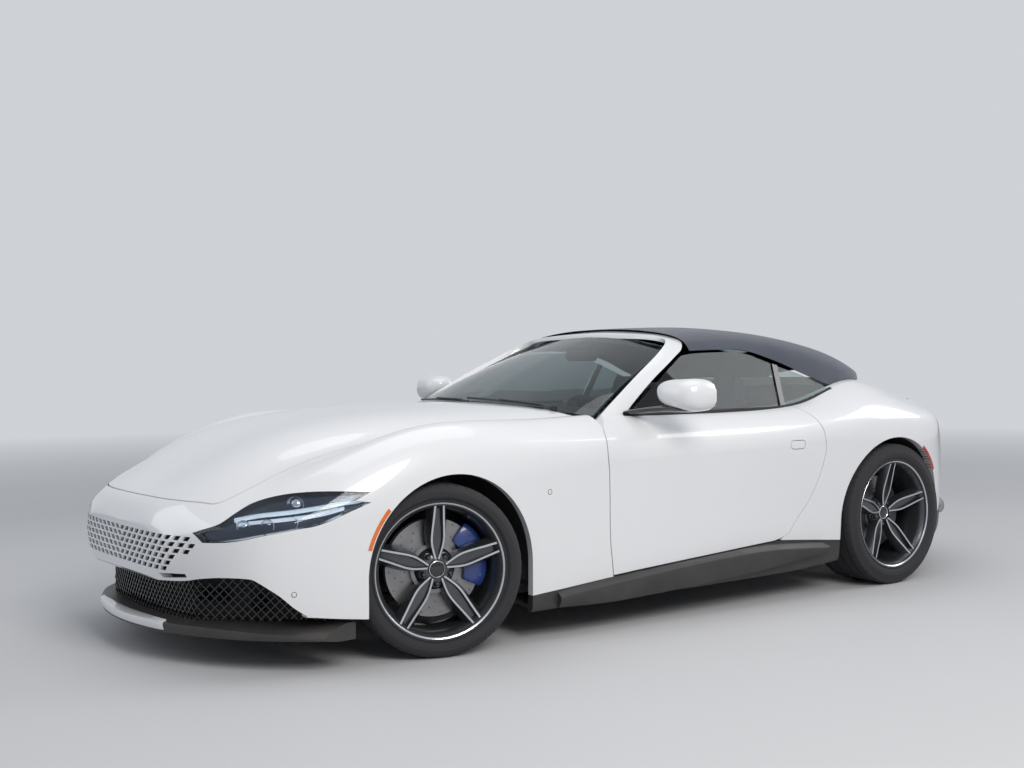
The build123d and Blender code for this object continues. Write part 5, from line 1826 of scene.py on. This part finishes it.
def make_details():
    make_wipers()
    cowl = panel("cowl_cover", [cowl_block()])
    ready(cowl, "black_trim", black_trim(), replaces=("cowl_panel",))
    glow = panel("side_markers_left", [arc_block("slice", (25, 335), 384, 399, 138, 163, 800, 1100)])
    pair(moved(glow, (MARKER_OUT, 0, 0)), "lamp_glass", [amber()])
    red = panel("rear_markers_left", [arc_block("slice", (2680, 354), 388, 404, 31, 56, 800, 1100)])
    pair(moved(red, (MARKER_OUT, 0, 0)), "red_lens", [red_lens()])
    for word, side in (("left", 1), ("right", -1)):
        front = belt_strip("belt", [p for p in BELT if p[0] < BELT_SPLIT] + [(BELT_SPLIT - 6, 909)])
        if side < 0:
            front = flipped_piece(front)
        ready(smooth(front, 40), "black_trim", rubber(), body=f"front_door_{word}").name = f"door_belt_{word}"
    rear = belt_strip("quarter_belt_left", [(BELT_SPLIT + 2, 909)] + [p for p in BELT if p[0] > BELT_SPLIT])
    pair(smooth(rear, 40), "black_trim", [rubber()])
    spots = []
    for s, z, radius in BUTTONS:
        spot, normal = skin_at(s, z)
        turned_out = Matrix.Translation(spot) @ normal.to_track_quat("X", "Z").to_matrix().to_4x4()
        face = turned("face", [(-3, 0), (-3, radius), (0.8, radius), (1.2, radius - 1), (1.2, 0)], 32)
        edge = turned("edge", [(-3, radius + 0.6), (-3, radius + 2.4), (0.7, radius + 2.4),
                               (0.7, radius + 0.6)], 32)
        for item, number in ((face, 0), (edge, 1)):
            item.data.transform(turned_out)
            dressed(item, paint(), gloss_black())
            spots.append(all_faces(item, number))
    pair(smooth(joined("buttons_left", *spots), 40), "paint_white", [paint(), gloss_black()],
         name="buttons")
    make_liners()
    glass = block(rounded_box(-118, 118, 1136, 1194, 26), "s", 1428, 1452, "cabin_mirror")
    stalk = loft("stalk", [ring(0, 1486, 1244, 9, 9, 12), ring(0, 1450, 1190, 8, 8, 12)])
    pod = loft("pod", [[(-w, s, z), (w, s, z), (w, s + 60, z + 16), (-w, s + 60, z + 16)]
                       for w, s, z in ((55, 1400, 1205), (70, 1450, 1224), (60, 1500, 1246))])
    bevelled(glass, 0.006)
    ready(smooth(joined("cabin_mirror", glass, stalk, pod), 40), "black_trim", black_trim())


def make_liners():
    """Black inner fenders: a thin ring over each wheel, kept inside the body's panels."""
    for word, s, z, radius, x0, x1 in (("front", 20, FRONT_WHEEL_R, 412, 508, 896),
                                       ("rear", 2680, REAR_WHEEL_R, 388, 643, 960)):
        liner = drum("liner", x0, x1, s, z, radius + 5)
        boolean(liner, drum("hollow", x0 - 20, x1 + 20, s, z, radius + 1))
        upper = block(((s - 600, z - 90), (s + 600, z - 90), (s + 600, z + 600), (s - 600, z + 600)), "x",
                      400, 1100)
        boolean(liner, upper, "INTERSECT")
        boolean(liner, copy_of(Skin.inner, "shell"), "INTERSECT")
        liner.name = f"{word}_arch_liners_left"
        pair(smooth(liner, 40), "floor_black", [underbody()])


def flipped_piece(piece):
    twin = mirror_of(piece, piece.name)
    discard(piece)
    return twin


# ------------------------------------------------------------------ cabin
DASH = (  # x, how far the brow is lifted and how far it reaches back
    (-645, 0, 0), (-600, 3, 8), (-385, 5, 12), (-150, 3, 0), (0, 0, -6), (170, 3, 2), (250, 16, 20),
    (385, 26, 30), (510, 16, 20), (600, 3, 8), (645, 0, 0),
)


def dash_section(x, lift, reach):
    return [(x, 748, 560), (x, 748, 760), (x, 790, 826), (x, 870, 846), (x, 960, 862 + lift),
            (x, 1020 + reach, 862 + lift), (x, 1052 + reach, 846 + lift), (x, 1060 + reach, 822),
            (x, 1046, 780), (x, 1020, 720), (x, 980, 640), (x, 940, 560)]


CONSOLE = ((930, 100, 660), (1080, 104, 640), (1200, 104, 580), (1350, 104, 545), (1700, 104, 540),
           (2060, 104, 536))
HAND_WHEEL = dict(x=372, s=1190, z=806, lean=20, radius=172)


def make_cabin():
    shape = loft("dash_cover", stations([dash_section(*row) for row in DASH], 4))
    tunnel = loft("console", [[(-w, s, 184), (-w, s, top - 14), (-w + 14, s, top), (w - 14, s, top),
                               (w, s, top - 14), (w, s, 184)] for s, w, top in CONSOLE])
    bevelled(shape, 0.006)
    ready(smooth(joined("dash_cover", shape, tunnel), 40), "dash_dark", leather_blue(),
          replaces=("dashboard",))
    screens = (((225, 520, 745, 850, 30), 1060, 1084), ((-90, 90, 690, 830, 12), 1052, 1062),
               ((-560, -300, 740, 800, 12), 1060, 1070))
    fittings = [block(rounded_box(*sides), "s", front, rear) for sides, front, rear in screens]
    for x in (-600, -150, 150, 600):
        fittings.append(drum_along("vent", x, 1040, 1072, 790, 38, 40))
    fittings.append(block(rounded_box(-60, 60, 1240, 1480, 30), "z", 540, 556))
    ready(smooth(joined("dash_fittings", *fittings), 40), "dash_dark", gloss_black())
    make_steering_wheel()


def make_steering_wheel():
    lean = math.radians(HAND_WHEEL["lean"])
    middle = Matrix.Translation(place(HAND_WHEEL["x"], HAND_WHEEL["s"], HAND_WHEEL["z"]))
    bpy.ops.mesh.primitive_torus_add(major_segments=72, minor_segments=16,
                                     major_radius=HAND_WHEEL["radius"] / 1000, minor_radius=0.015,
                                     location=(0, 0, 0))
    parts = [settle(bpy.context.object)]
    for x, y, wide, tall, deep in ((0, 0, 0.13, 0.11, 0.05), (-0.115, 0, 0.12, 0.034, 0.018),
                                   (0.115, 0, 0.12, 0.034, 0.018), (0, -0.115, 0.05, 0.12, 0.018)):
        bpy.ops.mesh.primitive_cube_add(size=1, location=(x, y, -0.012))
        bar = bpy.context.object
        bar.scale = (wide, tall, deep)
        apply(settle(bar), "BEVEL", width=0.008, segments=3, limit_method="ANGLE")
        parts.append(bar)
    bpy.ops.mesh.primitive_cylinder_add(vertices=32, radius=0.024, depth=0.17, location=(0, 0, -0.1))
    parts.append(settle(bpy.context.object))
    whole_wheel = joined("hand_wheel", *parts)
    whole_wheel.data.transform(middle @ Matrix.Rotation(lean - math.pi / 2, 4, "X"))
    ready(smooth(whole_wheel, 40), "wheel_leather", leather_black(), replaces=("steering_wheel",))


SEAT_X = 385
# Flat pads are rows of s, low z, top z and half width; upright pads are rows of s, z, depth and half width.
# Their sides stand up as bolsters.
CUSHION = ((1405, 262, 398, 225), (1450, 258, 418, 235), (1650, 256, 404, 238), (1860, 262, 384, 230),
           (1925, 300, 362, 214))
BACK = ((1905, 345, 70, 205), (1950, 480, 74, 222), (1995, 640, 72, 228), (2035, 780, 62, 214),
        (2065, 880, 50, 170))
HEAD = ((2066, 875, 38, 96), (2080, 930, 46, 112), (2094, 1000, 46, 108), (2100, 1048, 34, 84))
BENCH = ((2165, 310, 420, 520), (2240, 306, 424, 540), (2320, 310, 410, 520))
BENCH_BACK = ((2335, 430, 30, 520), (2362, 620, 32, 530), (2384, 840, 26, 500))
BOLSTER = 34
PIPING = (0.136, 0.150)  # the light band on a seat, in metres from the seat's middle


def cushion_rows(table):
    """Sections of a flat pad: its top is hollow in the middle and its edges are bolsters."""
    rows = []
    for s, low, top, half in table:
        edge = [(half + 4, top - 40), (half - 14, top + BOLSTER * 0.5), (half - 60, top + BOLSTER * 0.35),
                (half - 90, top - 8)]
        rows.append([(-half, s, low), (half, s, low)] + [(x, s, z) for x, z in edge] + [(0, s, top - 4)]
                    + [(-x, s, z) for x, z in reversed(edge)])
    return rows


def back_rows(table, lean=0.34):
    """Sections of an upright pad; its front is hollow in the middle."""
    rows = []
    for s, z, deep, half in table:
        front, rear = s - deep / 2, s + deep / 2
        edge = [(half + 4, front + 10), (half - 14, front - BOLSTER * 0.6),
                (half - 58, front - BOLSTER * 0.4), (half - 84, front + 4)]
        outline = [(-half, rear), (half, rear), *edge, (0, front)] + [(-x, y) for x, y in reversed(edge)]
        rows.append([(x, y, z - lean * (y - s)) for x, y in outline])
    return rows


def swollen(piece, voxel=0.008, pressure=3.0, frames=12, cap=0.011):
    """Fills a pad like a sewn cover and keeps the result in its mesh."""
    apply(piece, "REMESH", mode="VOXEL", voxel_size=voxel)
    start = [v.co.copy() for v in piece.data.vertices]
    choose(piece)
    cover = piece.modifiers.new("cover", "CLOTH")
    cover.settings.quality = 4
    cover.settings.use_pressure = True
    cover.settings.uniform_pressure_force = pressure
    cover.settings.effector_weights.gravity = 0
    for frame in range(1, frames + 1):
        bpy.context.scene.frame_set(frame)
    bpy.ops.object.modifier_apply(modifier=cover.name)
    bpy.context.scene.frame_set(1)
    for vertex, place_before in zip(piece.data.vertices, start):
        move = vertex.co - place_before
        if move.length > cap:
            vertex.co = place_before + move.normalized() * cap
    apply(piece, "SUBSURF", levels=1, render_levels=1)
    return smooth(piece, 60)


def make_pad(name, rows, at_x, slot, nodes=(), twin=True):
    edge = at_x / 1000
    pad = moved(swollen(loft(name, stations(rows, 3))), (edge, 0, 0))
    pads = [pad] + ([mirror_of(pad, name.replace("left", "right"))] if twin else [])
    for item in pads:
        ready(item, slot, leather_blue(), leather_light(), replaces=nodes if item is pad else ())
        for face in item.data.polygons:
            off = abs(abs(face.center.x) - edge)
            face.material_index = 1 if twin and PIPING[0] < off < PIPING[1] else 0


def make_seats():
    make_pad("seat_cushion_left", cushion_rows(CUSHION), SEAT_X, "trim_blue", ("seats",))
    make_pad("seat_back_left", back_rows(BACK), SEAT_X, "trim_blue")
    make_pad("head_rest_left", [[(x * 0.45, s, z) for x, s, z in row] for row in back_rows(
        [(s, z, deep, half * 2) for s, z, deep, half in HEAD])], SEAT_X, "trim_blue")
    make_pad("rear_cushion", cushion_rows(BENCH), 0, "trim_blue", ("rear_seat",), twin=False)
    make_pad("rear_back", back_rows(BENCH_BACK, 0.12), 0, "trim_blue", twin=False)
    frames = []
    for x in (-SEAT_X, SEAT_X):
        frames.append(block(rounded_box(1470, 1880, 186, 262, 20), "x", x - 190, x + 190))
        frames.append(block(((1935, 300), (2052, 880), (2108, 880), (2000, 300)), "x", x - 150, x + 150))
    ready(smooth(joined("seat_frames", *frames), 40), "black_trim", leather_black())


# ------------------------------------------------------------------ nodes that keep their own solid
def dress_nodes():
    """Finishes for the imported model's own nodes that still show."""
    looks = {
        "core_black": cavity, "paint_white": paint, "black_trim": black_trim, "fabric_top": top_cloth,
        "clear_glass": window_glass, "lamp_glass": lens_glass, "red_lens": red_lens, "grey_alloy": alloy_dark,
        "tyre_rubber": tyre_look, "caliper_blue": caliper_paint, "cast_steel": cast_metal,
        "floor_black": underbody, "engine_metal": cast_metal, "trim_blue": leather_blue,
        "dash_dark": dash_skin, "wheel_leather": leather_black, "pipe_steel": pipe_steel,
        "mesh_black": cavity,
    }
    own = {}
    for entry in frame["record"].get("materials", []):
        for name in entry.get("nodes", []):
            own[name] = entry["slot"]
    for name, thing in frame["nodes"].items():
        slot = own.get(name, "floor_black")
        look = looks.get(slot, underbody)()
        if thing.data.materials:
            for k in range(len(thing.data.materials)):
                thing.data.materials[k] = look
        else:
            thing.data.materials.append(look)


# ------------------------------------------------------------------ stage
LAMPS = (  # name, place, size, power, colour
    ("key", (6.5, -2.0, 5.0), 3.5, 340, (1.0, 0.97, 0.93)),
    ("fill", (-4.0, -7.0, 4.0), 5.0, 95, (0.9, 0.95, 1.0)),
    ("rear", (3.0, 7.0, 5.0), 4.0, 145, (1.0, 1.0, 1.0)),
    ("top", (0.0, 0.0, 7.0), 6.0, 120, (1.0, 1.0, 1.0)),
)
EYE = dict(x=5274, s=-2881, z=1185, yaw=53.64, pitch=1.34, roll=-0.53, pixels=1343)
PICTURE_WIDE = 1024
SENSOR_WIDE = 36
BACKDROP = (0.62, 0.64, 0.67, 1)


def make_camera():
    camera = bpy.data.cameras.new("camera")
    eye = bpy.data.objects.new("camera", camera)
    bpy.context.scene.collection.objects.link(eye)
    yaw, pitch, roll = (math.radians(EYE[k]) for k in ("yaw", "pitch", "roll"))
    ahead = Vector((-math.sin(yaw) * math.cos(pitch), math.cos(yaw) * math.cos(pitch), -math.sin(pitch)))
    level = Vector((math.cos(yaw), math.sin(yaw), 0))
    up = level.cross(ahead)
    across = level * math.cos(roll) + up * math.sin(roll)
    tall = up * math.cos(roll) - level * math.sin(roll)
    turn = Matrix((across, tall, -ahead)).transposed().to_4x4()
    eye.matrix_world = Matrix.Translation(place(EYE["x"], EYE["s"], EYE["z"])) @ turn
    camera.sensor_width = SENSOR_WIDE
    camera.lens = EYE["pixels"] * SENSOR_WIDE / PICTURE_WIDE
    bpy.context.scene.camera = eye


def make_world():
    world = bpy.data.worlds.new("studio")
    bpy.context.scene.world = world
    world.use_nodes = True
    tree = world.node_tree
    light = tree.nodes["Background"]
    light.inputs["Color"].default_value = (0.75, 0.80, 0.88, 1)
    light.inputs["Strength"].default_value = 0.45
    seen = node(tree, "ShaderNodeBackground", -200)
    seen.inputs["Color"].default_value = BACKDROP
    seen.inputs["Strength"].default_value = 1.0
    path = node(tree, "ShaderNodeLightPath", -700)
    mix = node(tree, "ShaderNodeMixShader", 100)
    shown = path.outputs["Is Camera Ray"]
    for x, ray in ((-500, "Is Glossy Ray"), (-300, "Is Transmission Ray")):
        either = node(tree, "ShaderNodeMath", x, operation="MAXIMUM")
        tree.links.new(shown, either.inputs[0])
        tree.links.new(path.outputs[ray], either.inputs[1])
        shown = either.outputs[0]
    tree.links.new(shown, mix.inputs["Fac"])
    link(tree, light, 0, mix, 1)
    link(tree, seen, 0, mix, 2)
    link(tree, mix, 0, tree.nodes["World Output"], "Surface")


def floor_look():
    """Pale floor that turns into the backdrop's colour far from the car, for the camera only."""
    look = finish("studio_floor", (0.55, 0.55, 0.56), 0.7, 0.05, 0.97, 0.5, 60, 0.05, 0.001)
    tree = look.node_tree
    where = node(tree, "ShaderNodeTexCoord", -900)
    away = node(tree, "ShaderNodeVectorMath", -700, operation="LENGTH")
    fade = node(tree, "ShaderNodeMapRange", -500, **{"From Min": 5.0, "From Max": 15.0})
    seen = node(tree, "ShaderNodeLightPath", -500)
    both = node(tree, "ShaderNodeMath", -300, operation="MULTIPLY")
    plain = node(tree, "ShaderNodeEmission", -100)
    plain.inputs["Color"].default_value = BACKDROP
    mix = node(tree, "ShaderNodeMixShader", 100)
    link(tree, where, "Object", away, 0)
    link(tree, away, "Value", fade, "Value")
    link(tree, fade, "Result", both, 0)
    link(tree, seen, "Is Camera Ray", both, 1)
    link(tree, both, 0, mix, "Fac")
    link(tree, tree.nodes["Principled BSDF"], 0, mix, 1)
    link(tree, plain, 0, mix, 2)
    link(tree, mix, 0, tree.nodes["Material Output"], "Surface")
    return look


def make_stage():
    bpy.ops.mesh.primitive_plane_add(size=60, location=(0, 0, 0))
    floor = bpy.context.object
    floor.name = "studio_floor"
    floor.data.materials.append(floor_look())
    make_world()
    make_camera()
    for label, where, size, power, colour in LAMPS:
        lamp = bpy.data.lights.new(label, "AREA")
        lamp.energy, lamp.size, lamp.color = power, size, colour
        thing = bpy.data.objects.new(label, lamp)
        bpy.context.scene.collection.objects.link(thing)
        thing.location = where
        thing.rotation_euler = (Vector((0, 0, 0.5)) - Vector(where)).to_track_quat("-Z", "Y").to_euler()
    bpy.context.scene.view_settings.view_transform = "Standard"


# ------------------------------------------------------------------ add-on
class RoadsterStyle(bpy.types.PropertyGroup):
    """Sizes and colours that a user would change."""

    gap: bpy.props.FloatProperty(name="Shut gap", description="Width of the shut lines in millimetres",
                                 default=5.0, min=2.0, max=9.0)
    paint: bpy.props.FloatVectorProperty(name="Paint", description="Colour of the body", subtype="COLOR",
                                         size=3, default=(0.74, 0.745, 0.76))
    top: bpy.props.FloatVectorProperty(name="Fabric top", description="Colour of the fabric top",
                                       subtype="COLOR", size=3, default=(0.045, 0.055, 0.085))
    caliper: bpy.props.FloatVectorProperty(name="Calipers", description="Colour of the brake calipers",
                                           subtype="COLOR", size=3, default=(0.02, 0.05, 0.22))
    leather: bpy.props.FloatVectorProperty(name="Leather", description="Colour of the seats and door trims",
                                           subtype="COLOR", size=3, default=(0.02, 0.045, 0.10))


class ROADSTER_OT_stage(bpy.types.Operator):
    """Adds the floor, the lamps, the world and the camera"""

    bl_idname = "roadster.stage"
    bl_label = "Stage"

    def execute(self, context):
        make_stage()
        return {"FINISHED"}


class ROADSTER_OT_nodes(bpy.types.Operator):
    """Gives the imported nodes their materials"""

    bl_idname = "roadster.nodes"
    bl_label = "Node finishes"

    def execute(self, context):
        dress_nodes()
        return {"FINISHED"}


class ROADSTER_OT_skin(bpy.types.Operator):
    """Makes the smooth body that the panels are cut from"""

    bl_idname = "roadster.skin"
    bl_label = "Body skin"

    def execute(self, context):
        make_skin()
        return {"FINISHED"}


class ROADSTER_OT_bonnet(bpy.types.Operator):
    """Cuts the bonnet from the skin"""

    bl_idname = "roadster.bonnet"
    bl_label = "Bonnet"

    def execute(self, context):
        make_bonnet()
        return {"FINISHED"}


class ROADSTER_OT_boot_lid(bpy.types.Operator):
    """Cuts the boot lid from the skin"""

    bl_idname = "roadster.boot_lid"
    bl_label = "Boot lid"

    def execute(self, context):
        make_boot_lid()
        return {"FINISHED"}


class ROADSTER_OT_doors(bpy.types.Operator):
    """Makes both doors with their handles and trims"""

    bl_idname = "roadster.doors"
    bl_label = "Doors"

    def execute(self, context):
        make_doors()
        return {"FINISHED"}


class ROADSTER_OT_fenders(bpy.types.Operator):
    """Makes the front wings"""

    bl_idname = "roadster.fenders"
    bl_label = "Fenders"

    def execute(self, context):
        make_fenders()
        return {"FINISHED"}


class ROADSTER_OT_quarters(bpy.types.Operator):
    """Makes the rear quarter panels"""

    bl_idname = "roadster.quarters"
    bl_label = "Quarter panels"

    def execute(self, context):
        make_quarters()
        return {"FINISHED"}


class ROADSTER_OT_sills(bpy.types.Operator):
    """Makes the black sills"""

    bl_idname = "roadster.sills"
    bl_label = "Sills"

    def execute(self, context):
        make_sills()
        return {"FINISHED"}


class ROADSTER_OT_rear(bpy.types.Operator):
    """Makes the rear bumper, tail lamps and deck"""

    bl_idname = "roadster.rear"
    bl_label = "Rear"

    def execute(self, context):
        make_rear()
        return {"FINISHED"}


class ROADSTER_OT_diffuser(bpy.types.Operator):
    """Makes the diffuser with its fins"""

    bl_idname = "roadster.diffuser"
    bl_label = "Diffuser"

    def execute(self, context):
        make_diffuser()
        return {"FINISHED"}


class ROADSTER_OT_pipes(bpy.types.Operator):
    """Makes the four tail pipes"""

    bl_idname = "roadster.pipes"
    bl_label = "Tail pipes"

    def execute(self, context):
        make_pipes()
        return {"FINISHED"}


class ROADSTER_OT_nose(bpy.types.Operator):
    """Makes the front bumper with its openings"""

    bl_idname = "roadster.nose"
    bl_label = "Front bumper"

    def execute(self, context):
        make_nose()
        return {"FINISHED"}


class ROADSTER_OT_grille(bpy.types.Operator):
    """Makes the perforated grille panel"""

    bl_idname = "roadster.grille"
    bl_label = "Grille"

    def execute(self, context):
        make_grille()
        return {"FINISHED"}


class ROADSTER_OT_mesh_grille(bpy.types.Operator):
    """Makes the mesh of the lower mouth and what is behind it"""

    bl_idname = "roadster.mesh_grille"
    bl_label = "Lower grille"

    def execute(self, context):
        make_mesh_grille()
        return {"FINISHED"}


class ROADSTER_OT_splitter(bpy.types.Operator):
    """Makes the splitter and its lip"""

    bl_idname = "roadster.splitter"
    bl_label = "Splitter"

    def execute(self, context):
        make_splitter()
        return {"FINISHED"}


class ROADSTER_OT_headlamps(bpy.types.Operator):
    """Makes the headlamps"""

    bl_idname = "roadster.headlamps"
    bl_label = "Headlamps"

    def execute(self, context):
        make_headlamps()
        return {"FINISHED"}


class ROADSTER_OT_windscreen(bpy.types.Operator):
    """Makes the windscreen and its black border"""

    bl_idname = "roadster.windscreen"
    bl_label = "Windscreen"

    def execute(self, context):
        make_windscreen()
        return {"FINISHED"}


class ROADSTER_OT_screen_frame(bpy.types.Operator):
    """Makes the pillars and the header"""

    bl_idname = "roadster.screen_frame"
    bl_label = "Windscreen frame"

    def execute(self, context):
        make_screen_frame()
        return {"FINISHED"}


class ROADSTER_OT_top(bpy.types.Operator):
    """Makes the fabric top and the rear window"""

    bl_idname = "roadster.top"
    bl_label = "Fabric top"

    def execute(self, context):
        make_top()
        return {"FINISHED"}


class ROADSTER_OT_side_glass(bpy.types.Operator):
    """Makes the door and quarter windows"""

    bl_idname = "roadster.side_glass"
    bl_label = "Side glass"

    def execute(self, context):
        make_side_glass()
        return {"FINISHED"}


class ROADSTER_OT_mirrors(bpy.types.Operator):
    """Makes the door mirrors"""

    bl_idname = "roadster.mirrors"
    bl_label = "Mirrors"

    def execute(self, context):
        make_mirrors()
        return {"FINISHED"}


class ROADSTER_OT_details(bpy.types.Operator):
    """Makes wipers, reflectors and other small parts"""

    bl_idname = "roadster.details"
    bl_label = "Body details"

    def execute(self, context):
        make_details()
        return {"FINISHED"}


class ROADSTER_OT_cabin(bpy.types.Operator):
    """Makes the dashboard, console and steering wheel"""

    bl_idname = "roadster.cabin"
    bl_label = "Cabin"

    def execute(self, context):
        make_cabin()
        return {"FINISHED"}


class ROADSTER_OT_seats(bpy.types.Operator):
    """Makes the front and rear seats"""

    bl_idname = "roadster.seats"
    bl_label = "Seats"

    def execute(self, context):
        make_seats()
        return {"FINISHED"}


class ROADSTER_OT_wheels(bpy.types.Operator):
    """Makes the wheels, tyres, discs and calipers"""

    bl_idname = "roadster.wheels"
    bl_label = "Wheels"

    def execute(self, context):
        make_wheels()
        return {"FINISHED"}


STEPS = (
    ROADSTER_OT_stage,
    ROADSTER_OT_nodes,
    ROADSTER_OT_skin,
    ROADSTER_OT_bonnet,
    ROADSTER_OT_boot_lid,
    ROADSTER_OT_doors,
    ROADSTER_OT_fenders,
    ROADSTER_OT_quarters,
    ROADSTER_OT_sills,
    ROADSTER_OT_rear,
    ROADSTER_OT_diffuser,
    ROADSTER_OT_pipes,
    ROADSTER_OT_nose,
    ROADSTER_OT_grille,
    ROADSTER_OT_mesh_grille,
    ROADSTER_OT_splitter,
    ROADSTER_OT_headlamps,
    ROADSTER_OT_windscreen,
    ROADSTER_OT_screen_frame,
    ROADSTER_OT_top,
    ROADSTER_OT_side_glass,
    ROADSTER_OT_mirrors,
    ROADSTER_OT_details,
    ROADSTER_OT_cabin,
    ROADSTER_OT_seats,
    ROADSTER_OT_wheels,
)


class ROADSTER_PT_panel(bpy.types.Panel):
    """Lists the settings and the pieces"""

    bl_idname = "ROADSTER_PT_panel"
    bl_label = "Roadster"
    bl_space_type = "VIEW_3D"
    bl_region_type = "UI"
    bl_category = "Roadster"

    def draw(self, context):
        settings = getattr(context.scene, STYLE)
        for name in ("gap", "paint", "top", "caliper", "leather"):
            self.layout.prop(settings, name)
        for step in STEPS:
            self.layout.operator(step.bl_idname)


def register():
    for part in (RoadsterStyle, *STEPS, ROADSTER_PT_panel):
        bpy.utils.register_class(part)
    setattr(bpy.types.Scene, STYLE, bpy.props.PointerProperty(type=RoadsterStyle))


def unregister():
    delattr(bpy.types.Scene, STYLE)
    for part in reversed((RoadsterStyle, *STEPS, ROADSTER_PT_panel)):
        bpy.utils.unregister_class(part)


def main():
    register()
    for step in STEPS:
        group_name, _, step_name = step.bl_idname.partition(".")
        getattr(getattr(bpy.ops, group_name), step_name)()
    discard(Skin.outer, Skin.inner, *TOOLS.values())


if __name__ == "__main__":
    main()
